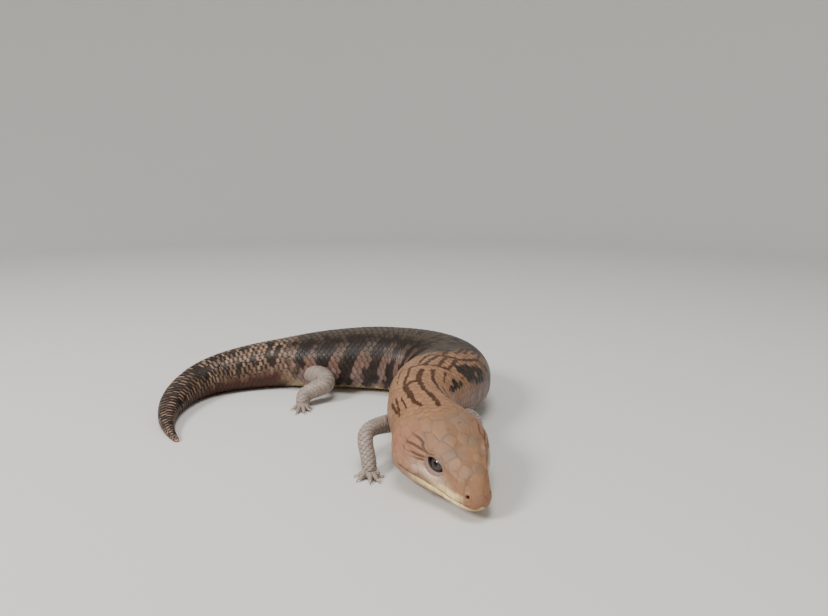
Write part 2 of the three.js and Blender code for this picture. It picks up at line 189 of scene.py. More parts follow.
def spine_at(s):
    """The backbone's place and its directions back, left and up, at each distance from the snout."""
    at = np.clip(s, 0, LENGTH)
    i = np.minimum(at.astype(int), LENGTH - 1)
    t = (at - i)[..., None]
    row = spine[i] * (1 - t) + spine[i + 1] * t
    place, along, left, up = (row[..., k:k + 3] for k in (0, 3, 6, 9))
    return place + along * (s - at)[..., None], along, left, up


def smooth_step(x, low, high):
    """0 up to low and 1 from high on, with a smooth rise between them."""
    t = np.clip((x - low) / (high - low), 0, 1)
    return t * t * (3 - 2 * t)


def head_form(s, up):
    """How far brow, snout, temple and lips stand out from the head's plain oval section."""
    proud = np.zeros_like(s)
    for form in HEAD_FORMS:
        proud += (form["proud"] * hump(s - form["along"], form["length"])
                  * hump(up - form["up"], form["width"]))
    fade = smooth_step(MOUTH_CORNER + MOUTH_FADE - s, 0, 10)
    for lip in LIPS:
        proud += lip["proud"] * fade * hump(up - mouth(s) - lip["up"], lip["width"])
    return proud


def section(s, turn, growth=0.0):
    """Offsets to the left and up, from the backbone to the surface grown outward by growth."""
    s, turn, growth = np.broadcast_arrays(*(np.asarray(v, float) for v in (s, turn, growth)))
    nose = np.minimum(s / SNOUT_ROUND, 1)
    tip = np.minimum((LENGTH - s) / TAIL_ROUND, 1)
    round_off = np.sqrt(np.maximum(1 - (1 - nose) ** 2, 0) * np.maximum(1 - (1 - tip) ** 2, 0))
    cos = np.cos(2 * np.pi * turn)
    sin = np.sin(2 * np.pi * turn)
    power = np.where(cos >= 0, BACK_POWER, BELLY_POWER)
    wide = half_width(s) * round_off + growth
    tall = np.where(cos >= 0, back(s) - level(s), level(s) - belly(s)) * round_off + growth
    sideways = np.abs(sin) ** (2 / power)
    upward = np.abs(cos) ** (2 / power)
    left = np.sign(sin) * wide * sideways
    up = level(s) + np.sign(cos) * tall * upward
    out = np.stack([np.sign(left) * sideways ** (power - 1) / np.maximum(wide, 1e-6),
                    np.sign(cos) * upward ** (power - 1) / np.maximum(tall, 1e-6)], -1)
    out /= np.maximum(np.linalg.norm(out, axis=-1, keepdims=True), 1e-9)
    proud = np.where(s < HEAD_END, head_form(s, up) * round_off, 0)
    return left + out[..., 0] * proud, up + out[..., 1] * proud


def body_point(s, turn, growth=0.0):
    """Points on the body, in millimetres. Nothing reaches under the floor."""
    left, up = section(s, turn, growth)
    place, _, left_way, up_way = spine_at(np.broadcast_to(np.asarray(s, float), left.shape))
    point = place + left_way * left[..., None] + up_way * up[..., None]
    point[..., 2] = np.maximum(point[..., 2], 0)
    return point


def turn_at_height(s, up):
    """The turn on the left side at which the section reaches a height over the backbone."""
    low = np.zeros_like(s)
    high = np.full_like(s, 0.5)
    for _ in range(30):
        middle = (low + high) / 2
        above = section(s, middle)[1] > up
        low = np.where(above, middle, low)
        high = np.where(above, high, middle)
    return low


def measure_girth():
    """The length round the body at each millimetre along it."""
    s, turn = np.meshgrid(np.arange(LENGTH + 1.0), np.linspace(0, 1, 121), indexing="ij")
    left, up = section(s, turn)
    return np.hypot(np.diff(left, axis=1), np.diff(up, axis=1)).sum(1)


GIRTH = measure_girth()


def girth(s):
    """The length round the body at any distance from the snout."""
    return np.maximum(np.interp(s, np.arange(LENGTH + 1.0), GIRTH), 1)


# The head is bare of loose scales. Its shields are plates of horn grown to the skull, with fine seams
# between them, and their layout is the species' own.
SEAM = 0.26
SEAM_DEPTH = 0.19
DOME = 0.11
OVERLAP = 0.16

# A shield is its name, its middle as distance from the snout and over the hide from the head's middle
# line, its half length and its half width. All are paired but those on the middle line.
SHIELDS = [
    ("nasal", 4.8, 6.2, 2.8, 3.2), ("frontonasal", 8, 0, 3.8, 4.2),
    ("prefrontal", 14.6, 3.7, 3.4, 3.5), ("frontal", 24.5, 0, 7.4, 3.5),
    ("first supraocular", 20.6, 7.4, 2.9, 3.2), ("second supraocular", 26, 8.6, 2.9, 3.6),
    ("third supraocular", 31.6, 8.9, 2.9, 3.4), ("frontoparietal", 34.2, 3.6, 3.3, 3.2),
    ("interparietal", 41.2, 0, 4.6, 2.4), ("parietal", 43.6, 7.2, 5.0, 4.2),
    ("front loreal", 10.6, 9.6, 2.6, 2.8), ("rear loreal", 16, 11.6, 2.8, 2.7),
    ("brow", 21.4, 12.2, 2.0, 1.5), ("brow", 25.2, 13.2, 2.0, 1.4), ("brow", 29, 13.8, 2.0, 1.4),
    ("brow", 32.6, 14.2, 2.0, 1.4), ("before the eye", 20.8, 16.2, 2.0, 1.8),
    ("under the eye", 24.6, 22.6, 2.6, 1.9), ("under the eye", 29.4, 24, 2.6, 1.9),
    ("behind the eye", 34.4, 21.4, 2.0, 2.2), ("behind the eye", 33.6, 24.6, 2.0, 2.0),
    ("upper temporal", 38.6, 13.6, 5.4, 2.6), ("upper temporal", 49, 12.2, 5.2, 3.2),
    ("middle temporal", 42.6, 18.8, 6.2, 2.5), ("lower temporal", 42, 24, 6.0, 2.5),
    ("rear temporal", 53.6, 18.4, 5.0, 3.0), ("rear temporal", 53, 24.6, 4.8, 3.0),
    ("cheek", 41.4, 29.4, 4.6, 2.6), ("cheek", 50.6, 31, 4.4, 2.9), ("cheek", 58.8, 28.4, 3.4, 2.6),
    ("cheek", 61, 22.4, 3.6, 2.8), ("cheek", 66.6, 27.2, 3.2, 2.6), ("nape", 52.4, 4.4, 3.0, 4.6),
    ("nape", 57.6, 4.0, 3.0, 4.4), ("nape", 56.6, 11.4, 3.4, 3.4), ("nape", 63.4, 15.8, 3.4, 3.4),
    ("chin", 2.4, 30, 2.2, 2.5),
]

# Only shields with their middle nearer to the middle line than this can meet those of the other side.
BESIDE_MIDDLE = 14

# Rows of like shields: those of the lips along the mouth, the cheek's scales and the chin's.
LABIAL_COUNT = 9
LABIAL_FROM = 3.2
LABIAL_TO = 45.5
LABIAL_HEIGHT = 2.6
CHEEK_ROWS = 4
CHEEK_FROM = 51.5
CHEEK_STEP = 4.4
CHEEK_ACROSS = 33.4
CHEEK_ROW = 3.7
CHIN_FROM = 7
CHIN_TO = 70
CHIN_STEP = 4.6
CHIN_UNDER_LIP = 6
CHIN_ROW = 3.6
CHIN_MIDDLE = 62
LIP_SAMPLE = 20
SMALL_WIDTH = 2.1

# Where the loose scales begin, as distance from the snout at each turn away from the back.
SCALE_EDGE = curve([
    (0, 52), (0.1, 56), (0.19, 69), (0.25, 71.5), (0.3, 71), (0.36, 60), (0.42, 44), (0.5, 36)])
COAT = 0.5


def off_back(turn):
    """How far a turn is from the middle of the back: 0 there, 0.5 under the belly."""
    return np.abs((turn + 0.5) % 1 - 0.5)


# The rings of the hide stand close together on the head and wide apart under the scales. A ring of the
# head has closer columns on both sides of the mouth, down to CLOSEST of their usual distance.
HEAD_RING = 0.42
BODY_RING = 3.0
HEAD_TO = 74
OVER_MOUTH = 122
UNDER_MOUTH = 58
CLOSE_COLUMNS = 14
CLOSEST = 0.18
BODY_COLUMNS = 80

nose_rings = SNOUT_ROUND * (1 - np.cos(np.linspace(0, math.pi / 2, 46)[1:]))
head_rings = np.concatenate([nose_rings, np.arange(SNOUT_ROUND + HEAD_RING, HEAD_TO, HEAD_RING)])
body_rings = np.arange(HEAD_TO + 1.0, LENGTH - 1, BODY_RING)
tail_rings = LENGTH - TAIL_ROUND * np.array([0.5, 0.25, 0.1, 0.02])


def head_turns(s):
    """Turns of one half ring, with a column along the mouth and close columns on both sides of it."""
    over = np.clip(np.arange(OVER_MOUTH)[::-1] / CLOSE_COLUMNS, CLOSEST, 1)
    above = np.concatenate([[0], np.cumsum(over) / over.sum()])
    under = np.clip(np.arange(UNDER_MOUTH) / CLOSE_COLUMNS, CLOSEST, 1)
    below = np.cumsum(under) / under.sum()
    at_mouth = turn_at_height(s, mouth(s))
    free = smooth_step(s, MOUTH_CORNER, HEAD_TO)
    at_mouth = np.clip(at_mouth * (1 - free) + 0.33 * free, 0, 0.47)[:, None]
    return np.concatenate([at_mouth * above, at_mouth + (0.5 - at_mouth) * below], 1)


half = head_turns(head_rings)
head_turn = np.concatenate([half, 1 - half[:, -2:0:-1]], 1)
head_s = np.repeat(head_rings[:, None], head_turn.shape[1], 1)


def outward(points, s):
    """Unit normals of a grid of points whose rows are closed rings round the body."""
    along = np.gradient(points, axis=0)
    around = np.roll(points, -1, 1) - np.roll(points, 1, 1)
    normal = np.cross(around, along)
    normal /= np.maximum(np.linalg.norm(normal, axis=-1, keepdims=True), 1e-9)
    core = spine_at(s)[0]
    return normal * np.sign(((points - core) * normal).sum(-1).mean())


head_point = body_point(head_s, head_turn)
head_up = section(head_s, head_turn)[1]
head_normal = outward(head_point, head_s)
steps = np.linalg.norm(np.diff(head_point, axis=1), axis=-1)
from_back = np.concatenate([np.zeros((len(head_rings), 1)), np.cumsum(steps, 1)], 1)
ring_length = from_back[:, -1:] + np.linalg.norm(head_point[:, :1] - head_point[:, -1:], axis=-1)
from_back = np.minimum(from_back, ring_length - from_back)
head_side = np.where(head_turn < 0.5, 1, -1)
lip_arc = curve(list(zip(head_rings[::6], from_back[::6, OVER_MOUTH])))


def shield_seeds():
    """Middle and half sizes of every shield and small scale of one side of the head."""
    seeds = [list(shield[1:]) for shield in SHIELDS]
    length = (LABIAL_TO - LABIAL_FROM) / (LABIAL_COUNT - 1)
    for i in range(LABIAL_COUNT):
        s = LABIAL_FROM + i * length
        seeds.append([s, lip_arc(s) - LABIAL_HEIGHT, 0.56 * length, 2.5])
        seeds.append([s + 0.4 * length, lip_arc(s) + 0.8 * LABIAL_HEIGHT, 0.56 * length, 2.0])
    for row in range(CHEEK_ROWS):
        for s in np.arange(CHEEK_FROM + 0.5 * CHEEK_STEP * (row % 2), HEAD_TO, CHEEK_STEP):
            seeds.append([s, CHEEK_ACROSS + CHEEK_ROW * row, 0.55 * CHEEK_STEP, SMALL_WIDTH])
    chin_rows = math.ceil((CHIN_MIDDLE - CHIN_UNDER_LIP - lip_arc(LIP_SAMPLE)) / CHIN_ROW)
    for row in range(chin_rows):
        for s in np.arange(CHIN_FROM + 0.5 * CHIN_STEP * (row % 2), CHIN_TO, CHIN_STEP):
            across = lip_arc(s) + CHIN_UNDER_LIP + row * CHIN_ROW
            seeds.append([s, across, 0.55 * CHIN_STEP, SMALL_WIDTH])
    return np.array(seeds, dtype=float)


RIPPLES = 7


def wander(x, y, size, seed):
    """Smooth irregular ripples between about -1 and 1, some size millimetres across."""
    draw = np.random.default_rng(seed)
    total = np.zeros(np.broadcast(x, y).shape)
    for _ in range(RIPPLES):
        way = draw.uniform(0, 2 * math.pi)
        phase = draw.uniform(0, 2 * math.pi)
        stretch = draw.uniform(0.6, 1.7)
        total += np.sin((x * math.cos(way) + y * math.sin(way)) * stretch * 2 * math.pi / size + phase)
    return total / 3.2


def nearest_shields(s, a, seeds):
    """For each place: how far it is from a seam, how far back in its shield, and the shield's number."""
    first = np.full(s.shape, 1e9)
    second = np.full(s.shape, 1e9)
    size = np.ones(s.shape)
    slope = np.zeros(s.shape)
    own = np.zeros(s.shape, dtype=int)
    for number, (middle, across, long, wide) in enumerate(seeds):
        for side in ((1, -1) if across < BESIDE_MIDDLE else (1,)):
            ds = (s - middle) / long
            far = np.hypot(ds, (a - side * across) / wide)
            closer = far < first
            second = np.where(closer, first, np.minimum(second, far))
            size = np.where(closer, min(long, wide), size)
            slope = np.where(closer, ds, slope)
            own = np.where(closer, number, own)
            first = np.where(closer, far, first)
    return (second - first) * size * 0.5, slope, own


seeds = shield_seeds()
sway = np.random.default_rng(3)
seeds[:, :2] += sway.uniform(-0.25, 0.25, (len(seeds), 2)) * (seeds[:, 1:2] != 0)
seam_away, shield_slope, shield = nearest_shields(head_s, from_back, seeds)

# The rostral shield caps the snout's front over the mouth, like a bell seen from ahead.
ROSTRAL = dict(tall=6.6, half=6.3, end=8)
over_rostral = (head_up - mouth(head_s)
                - ROSTRAL["tall"] * (1 - (section(head_s, head_turn)[0] / ROSTRAL["half"])**2))
over_rostral = np.where(head_s < ROSTRAL["end"], over_rostral, 9)
on_rostral = (over_rostral < 0) & (head_up > mouth(head_s))
seam_away = np.where(on_rostral, -over_rostral, np.minimum(seam_away, np.maximum(over_rostral, 0)))
shield[on_rostral] = 0
behind = smooth_step(head_s, 30, 60)
seam_share = 0.3 + 0.7 * smooth_step(wander(head_s, head_side * from_back, 17, 30), -0.7, 0.5)
head_rise = (DOME * (1 - hump(seam_away, 1.1)) - SEAM_DEPTH * seam_share * hump(seam_away, SEAM)
             + OVERLAP * behind * np.clip(shield_slope, -1, 1))
head_rise *= smooth_step(head_s, 0.3, 2.0)

# The dark seams that fan out behind each eye are folds between the long temporal shields. They are
# listed as (s, turn) points for the right side.
TEMPORAL_FOLDS = [
    [(51, 0.876), (47, 0.883), (42.5, 0.889), (40, 0.888), (38.6, 0.879), (35.3, 0.87), (33.5, 0.869)],
    [(51.5, 0.850), (47.3, 0.846), (43.3, 0.856), (38.8, 0.863), (35.8, 0.868)],
    [(50.3, 0.822), (45.8, 0.819)],
    [(44.5, 0.818), (39.8, 0.832), (36.8, 0.837), (34, 0.846)],
    [(40, 0.813), (36.5, 0.822), (33.5, 0.834)],
]
FOLD_DEPTH = 0.6
FOLD_WIDTH = 0.5
FOLD_PUFF = 0.3


def line_distance(s, turn, line):
    """Distance over the hide, in millimetres, from each place to a line of (s, turn) points."""
    best = np.full(np.shape(s), 1e9)
    for (s0, t0), (s1, t1) in zip(line[:-1], line[1:]):
        round_length = girth(np.asarray((s0 + s1) / 2))
        x0 = s - s0
        y0 = ((turn - t0 + 0.5) % 1 - 0.5) * round_length
        x1 = s1 - s0
        y1 = (t1 - t0) * round_length
        t = np.clip((x0 * x1 + y0 * y1) / max(x1 * x1 + y1 * y1, 1e-6), 0, 1)
        best = np.minimum(best, np.hypot(x0 - t * x1, y0 - t * y1))
    return best


def both_sides(s, turn, lines):
    """Distance to the nearest of some lines, which are bent smoothly and lie on both sides alike."""
    best = np.full(np.shape(s), 1e9)
    for line in lines:
        steps = np.linspace(0, len(line) - 1, 4 * len(line) - 3)
        along, round_it = (curve(list(enumerate(values)))(steps) for values in zip(*line))
        for side in (round_it, 1 - round_it):
            best = np.minimum(best, line_distance(s, turn, list(zip(along, side))))
    return best


def fold_distance(s, turn):
    """Distance to the nearest temporal fold, made to grow towards a fold's rear end so that it tapers."""
    return np.min([both_sides(s, turn, [line]) + 0.7 * smooth_step(s, line[0][0] - 7, line[0][0] + 1)
                   for line in TEMPORAL_FOLDS], 0)


# A blunt ridge runs from over the eye to the nostril, and overhangs the eye as a brow.
BROW_RIDGE = [(35, 0.872), (31, 0.882), (27, 0.886), (23, 0.884), (18, 0.881), (13, 0.879), (9, 0.868)]
BROW_PROUD = curve([(9, 0.25), (16, 0.5), (21, 1.1), (27, 1.75), (32, 1.1), (37, 0)])
head_rise += BROW_PROUD(head_s) * hump(both_sides(head_s, head_turn, [BROW_RIDGE]), 1.5)

folds = fold_distance(head_s, head_turn)
head_rise += FOLD_PUFF * hump(folds - 1.7, 1.1) - FOLD_DEPTH * hump(folds, FOLD_WIDTH)

# The mouth is a closed slit under an upper lip that stands a little over the lower one.
MOUTH_DEPTH = 1.1
MOUTH_WIDTH = 0.2
UPPER_LIP_PROUD = 0.28
LOWER_LIP_PROUD = 0.12
from_mouth = head_up - mouth(head_s)
slit = smooth_step(MOUTH_CORNER + 1 - head_s, 0, 2.5)
head_rise -= MOUTH_DEPTH * hump(from_mouth, MOUTH_WIDTH) * slit
head_rise += UPPER_LIP_PROUD * hump(from_mouth - 0.75, 0.55) * slit
head_rise += LOWER_LIP_PROUD * hump(from_mouth + 0.7, 0.5) * slit

# Nostrils are round pits with a raised rim, and the ears are open slots with scaled front edges.
NOSTRIL = dict(along=4.6, up=5.6, radius=1.05, depth=1.8, rim=0.38)
EAR = dict(along=67.5, up=-1.5, length=2.6, height=5.4, depth=2.4, rim=0.35)
nostril_away = np.full(head_s.shape, 1e9)
for side in (-1, 1):
    turn = turn_at_height(np.array([NOSTRIL["along"]]), NOSTRIL["up"]) * side
    spot = body_point(np.array([NOSTRIL["along"]]), turn)[0]
    nostril_away = np.minimum(nostril_away, np.linalg.norm(head_point - spot, axis=-1))
head_rise -= NOSTRIL["depth"] * (1 - smooth_step(nostril_away, 0.4, NOSTRIL["radius"] + 0.15))
head_rise += NOSTRIL["rim"] * hump(nostril_away - NOSTRIL["radius"] - 0.55, 0.5)
ear_away = np.hypot((head_s - EAR["along"]) / (EAR["length"] / 2),
                    (head_up - EAR["up"]) / (EAR["height"] / 2))
head_rise -= EAR["depth"] * (1 - smooth_step(ear_away, 0.7, 1.15))
head_rise += EAR["rim"] * hump(head_s - EAR["along"] + 2.6, 1.2) * hump(head_up - EAR["up"], 3)

# Behind its edge the hide sinks under the loose scales.
under_scales = smooth_step(head_s - SCALE_EDGE(off_back(head_turn)), -0.5, 3.5)
head_rise = head_rise * (1 - under_scales) - COAT * under_scales
head_surface = head_point + head_normal * head_rise[..., None]


# The eye sits deep in its socket and looks out to the side, a little forward and up. Its lids are
# soft skin set with rows of tiny scales, and leave an almond 11 mm long between them.
EYE = dict(along=27.5, up=10, radius=5.4, lid=0.55, bulge=0.35, long=10.8, over=2.1, under=3.0)
EYE_FORWARD = 24
EYE_RAISED = 24
SOCKET = 6.5
SOCKET_OVER = 4.5
SOCKET_UNDER = 5.9
CORNER_DEPTH = 1.2


def eye_place(side):
    """The eyeball's middle, and the directions to its front corner, to the brow and outwards."""
    s = np.array([float(EYE["along"])])
    _, along, left, up = (row[0] for row in spine_at(s))
    forward = -along
    turn, raised = math.radians(EYE_FORWARD), math.radians(EYE_RAISED)
    look = left * side * math.cos(turn) + forward * math.sin(turn)
    look = look * math.cos(raised) + up * math.sin(raised)
    look /= np.linalg.norm(look)
    spot = body_point(s, turn_at_height(s, float(EYE["up"])) * side)[0]
    middle = spot + look * (EYE["bulge"] - EYE["lid"] - EYE["radius"])
    slit_way = forward - look * forward.dot(look)
    slit_way /= np.linalg.norm(slit_way)
    brow = up - look * up.dot(look) - slit_way * up.dot(slit_way)
    return middle, slit_way, brow / np.linalg.norm(brow), look


def almond(angle):
    """The opening between the lids, as offsets along the slit and towards the brow."""
    x = 0.5 * EYE["long"] * np.cos(angle)
    bow = 1 - (2 * x / EYE["long"]) ** 2
    high = np.where(np.sin(angle) >= 0, EYE["over"], -EYE["under"])
    return x, high * bow**0.8 - 0.035 * x


def across_socket(x, y):
    """How far a place is from the socket's middle, scaled to SOCKET at its rim all round."""
    return np.hypot(x, y * SOCKET / np.where(y > 0, SOCKET_OVER, SOCKET_UNDER))


def bowl_terms(x, y):
    """Terms of a shallow bowl, which stands for the plain hide over the socket."""
    return np.stack([np.ones_like(x), x, y, x * x, x * y, y * y], -1)


def circle(count):
    """Angles of evenly spaced points round a circle."""
    return np.linspace(0, 2 * math.pi, count, endpoint=False)


eyes = {side: eye_place(side) for side in (-1, 1)}
socket_fit = {}
for side, (middle, slit_way, brow, look) in eyes.items():
    offset = head_surface - middle
    x, y, z = offset @ slit_way, offset @ brow, offset @ look
    far = across_socket(x, y)
    near = (far < SOCKET + 2.5) & (z > 0)
    plain = (head_point - middle)[near] @ look
    socket_fit[side] = np.linalg.lstsq(bowl_terms(x, y)[near], plain, rcond=None)[0]
    floor = np.sqrt(np.maximum((EYE["radius"] - 0.9) ** 2 - far**2, 0)) * 0.8 - 0.2
    sunk = 1 - smooth_step(far, SOCKET - 1.3, SOCKET)
    drop = np.where(near, np.maximum(z - floor, 0) * sunk, 0)
    head_surface -= look * drop[..., None]

# The lids' rows of tiny scales: how far out each row ends, and its count.
LID_AROUND = 132
LID_ACROSS = 22
LID_ROWS = [(0.13, 22), (0.36, 22), (0.64, 20), (1.0, 18)]


def lid_ring(side):
    """One eye's lids as a closed ring: skin outside, and a plain inner face against the eyeball."""
    middle, slit_way, brow, look = eyes[side]
    angle = circle(LID_AROUND)[:, None]
    out = (np.linspace(0, 1, LID_ACROSS) ** 0.9)[None, :]
    edge_x, edge_y = almond(angle)
    rim_x = (SOCKET + 0.2) * np.cos(angle)
    rim_y = (0.2 + np.where(np.sin(angle) > 0, SOCKET_OVER, SOCKET_UNDER)) * np.sin(angle)
    x = edge_x + (rim_x - edge_x) * out
    y = edge_y + (rim_y - edge_y) * out
    ball = np.sqrt(np.maximum(EYE["radius"] ** 2 - x * x - y * y, 0.0))
    hide = bowl_terms(x, y) @ socket_fit[side]
    edge = np.maximum(ball, hide - CORNER_DEPTH)[:, :1] + 0.06
    blend = smooth_step(out, 0.0, 0.8)
    z = (edge + 0.5 * smooth_step(out, 0, 0.12)) * (1 - blend)
    z += (hide - 0.3 * smooth_step(out, 0.75, 1)) * blend
    z = np.maximum(z, ball + 0.3 * smooth_step(out, 0, 0.12))
    rise = np.zeros_like(z)
    start = 0.0
    for row, (end, count) in enumerate(LID_ROWS):
        inside = (out >= start) & (out < end + 1e-9)
        phase = (angle / (2 * math.pi) * count + 0.5 * (row % 2)) % 1
        across = np.minimum(phase, 1 - phase) * 2
        along = np.minimum(out - start, end - out) / (end - start) * 2
        gap = np.minimum(across * 0.75, along)
        rise = np.where(inside, 0.16 * smooth_step(gap, 0.0, 0.55) - 0.04, rise)
        start = end
    z = z + rise * smooth_step(out, 0.05, 0.14) * (1 - smooth_step(out, 0.93, 1))
    outer = middle + x[..., None] * slit_way + y[..., None] * brow + z[..., None] * look
    inner_z = np.minimum(ball - 0.35, z - 0.6)
    inner = middle + x[..., None] * slit_way + y[..., None] * brow + inner_z[..., None] * look
    return np.concatenate([outer, inner[:, ::-1]], 1), np.broadcast_to(out, z.shape)


# The legs are short and set well apart, each one thick tube of flesh from the trunk to a small flat
# foot with five toes. Joints and soles are measured from the snout's tip in millimetres, and a toe is
# its direction in degrees with its length.
CLAW = 3
TOE_ROUND = 0.82
LEG_COAT = 0.3

# Half thickness along a leg, half width and half thickness of its palm, and a toe's half thickness at
# its root and at its end.
FORE = dict(
    thick=[(0, 6.5), (0.3, 4.9), (0.55, 4.6), (0.8, 4.5), (1, 4.3)], palm=(4.9, 2.8), toe=(1.8, 1.3))
HIND = dict(
    thick=[(0, 10), (0.3, 8), (0.55, 6.2), (0.8, 5.4), (1, 4.8)], palm=(5, 2.9), toe=(1.9, 1.35))
LEGS = {
    "foreleg_right": dict(
        kind=FORE, joints=[(-44.1, 93.7, 17.5), (-63.1, 66.7, 20), (-60.9, 54.7, 8)],
        sole=(-60.1, 51.2), toes=[(345, 9), (304, 12), (276, 11.5), (228, 11), (192, 9.5)]),
    "foreleg_left": dict(
        kind=FORE, joints=[(-20.1, 95.7, 19), (4.4, 105.7, 15), (6.4, 89.7, 8)],
        sole=(6.4, 85.7), toes=[(200, 9), (238, 11), (270, 12), (300, 11.5), (335, 9)]),
    "hind_leg_right": dict(
        kind=HIND, joints=[(-127.1, 216.7, 16), (-104.1, 177.7, 14), (-118.1, 166.7, 8)],
        sole=(-119.1, 161.7), toes=[(335, 9), (308, 12.5), (285, 15), (262, 16), (222, 10.5)]),
    "hind_leg_left": dict(
        kind=HIND, joints=[(-126.1, 225.7, 16), (-103.1, 264.7, 14), (-117.1, 275.7, 8)],
        sole=(-118.1, 280.7), toes=[(25, 9), (52, 12.5), (75, 15), (98, 16), (138, 10.5)]),
}


def path_through(points, u):
    """A centripetal spline through the points, for u from 0 to 1."""
    points = np.array(points, dtype=float)
    points = np.concatenate([[2 * points[0] - points[1]], points, [2 * points[-1] - points[-2]]])
    place = np.asarray(u) * (len(points) - 3)
    i = np.minimum(place.astype(int), len(points) - 4)
    t = (place - i)[:, None]
    p0, p1, p2, p3 = (points[i + k] for k in range(4))
    d0, d1, d2 = (np.linalg.norm(b - a, axis=1, keepdims=True) ** 0.5
                  for a, b in ((p0, p1), (p1, p2), (p2, p3)))
    t1 = ((p1 - p0) / d0 - (p2 - p0) / (d0 + d1) + (p2 - p1) / d1) * d1
    t2 = ((p2 - p1) / d1 - (p3 - p1) / (d1 + d2) + (p3 - p2) / d2) * d1
    return p1 + t1 * t + (3 * p2 - 3 * p1 - 2 * t1 - t2) * t**2 + (2 * p1 - 2 * p2 + t1 + t2) * t**3


def tube_point(path, thick, u, angle, growth=0.0):
    """Points of a tube round a path, with the angle running from its side over its top."""
    centre = path_through(path, u)
    along = path_through(path, np.minimum(u + 0.01, 1)) - path_through(path, np.maximum(u - 0.01, 0))
    along /= np.linalg.norm(along, axis=-1, keepdims=True)
    across = np.cross([0, 0, 1], along)
    across /= np.linalg.norm(across, axis=-1, keepdims=True)
    normal = np.cross(along, across)
    radius = (thick(u) + growth)[..., None]
    point = centre + radius * (across * np.cos(angle)[..., None] + normal * np.sin(angle)[..., None])
    point[..., 2] = np.maximum(point[..., 2], 0)
    return point


def from_snout(x, y, z):
    """A place measured from the snout's tip, in the frame's millimetres."""
    return (SNOUT.x / MM + x, SNOUT.y / MM + y, z)


def leg_path(leg):
    """The middle line of a leg, from its root inside the trunk to the middle of its foot."""
    thick = leg["kind"]["palm"][1]
    return [from_snout(*joint) for joint in leg["joints"]] + [from_snout(*leg["sole"], thick - 0.4)]


def along_toe(leg, degrees, places):
    """Points over a toe's line, from places given as distance from the foot's middle and height."""
    x, y, _ = from_snout(*leg["sole"], 0)
    way = math.cos(math.radians(degrees)), math.sin(math.radians(degrees))
    return [(x + far * way[0], y + far * way[1], height) for far, height in places]


def toe_path(leg, degrees, length):
    """The middle line of one toe: it arches from the palm and comes down to rest on its end."""
    root, end = leg["kind"]["toe"]
    thick = leg["kind"]["palm"][1] - 0.5
    return along_toe(leg, degrees, [
        (1, thick - 0.4), (0.45 * length, root + 0.9), (length - CLAW, end + 0.1)])


def toe_thick(leg, growth=0.0):
    """A toe's half thickness along it: two soft knuckles and a rounded end."""
    root, end = leg["kind"]["toe"]

    def thick(u):
        plain = root + (end - root) * u
        knuckles = 0.12 * hump(u - 0.45, 0.12) + 0.1 * hump(u - 0.8, 0.1)
        rounding = np.clip(1 - ((u - TOE_ROUND) / 0.2) ** 2 * (u > TOE_ROUND), 0.02, 1)
        return (plain + knuckles + growth) * np.sqrt(rounding)

    return thick


def make_mesh(name, points, faces):
    """An object from points in millimetres, placed in the frame's metres."""
    mesh = bpy.data.meshes.new(name)
    mesh.from_pydata((np.asarray(points) * MM).tolist(), [], faces)
    mesh.update()
    piece = bpy.data.objects.new(name, mesh)
    bpy.context.scene.collection.objects.link(piece)
    return piece


def ring_faces(near, far):
    """Faces between two rings of point numbers, which may differ in count."""
    if len(near) == len(far):
        return [(near[i], near[(i + 1) % len(near)], far[(i + 1) % len(far)], far[i])
                for i in range(len(near))]
    faces = []
    i = j = 0
    while i < len(near) or j < len(far):
        if j >= len(far) or (i < len(near) and (i + 1) * len(far) <= (j + 1) * len(near)):
            faces.append((near[i % len(near)], near[(i + 1) % len(near)], far[j % len(far)]))
            i += 1
        else:
            faces.append((near[i % len(near)], far[(j + 1) % len(far)], far[j % len(far)]))
            j += 1
    return faces


def face_outwards(piece):
    """Turns every face of a closed piece outwards."""
    form = bmesh.new()
    form.from_mesh(piece.data)
    bmesh.ops.recalc_face_normals(form, faces=form.faces)
    form.to_mesh(piece.data)
    form.free()


def skin_over(name, rings):
    """A closed skin over rings of points. A ring of one point is a tip, and an end ring gets a cap."""
    rings = list(rings)
    for end in (0, -1):
        if len(rings[end]) > 1:
            hub = np.mean(rings[end], 0, keepdims=True)
            rings = [hub] + rings if end == 0 else rings + [hub]
    starts = np.cumsum([0] + [len(ring) for ring in rings])
    numbers = [list(range(a, b)) for a, b in zip(starts[:-1], starts[1:])]
    faces = []
    for near, far in zip(numbers[:-1], numbers[1:]):
        if len(near) == 1:
            faces += [(near[0], far[(i + 1) % len(far)], far[i]) for i in range(len(far))]
        elif len(far) == 1:
            faces += [(near[i], near[(i + 1) % len(near)], far[0]) for i in range(len(near))]
        else:
            faces += ring_faces(near, far)
    piece = make_mesh(name, np.concatenate(rings), faces)
    face_outwards(piece)
    return piece


def palm_point(leg, azimuth, rise, growth=0.0):
    """Points on the foot's flat pad. Rise runs from -1 under the sole to 1 on top of it."""
    wide, thick = leg["kind"]["palm"]
    x, y, _ = from_snout(*leg["sole"], 0)
    ring = np.sqrt(np.maximum(1 - rise**2, 0))
    point = np.stack([x + (wide + growth) * ring * np.cos(azimuth),
                      y + (wide + growth) * ring * np.sin(azimuth),
                      thick - 0.5 + (thick + growth) * rise], -1)
    point[..., 2] = np.maximum(point[..., 2], 0)
    return point


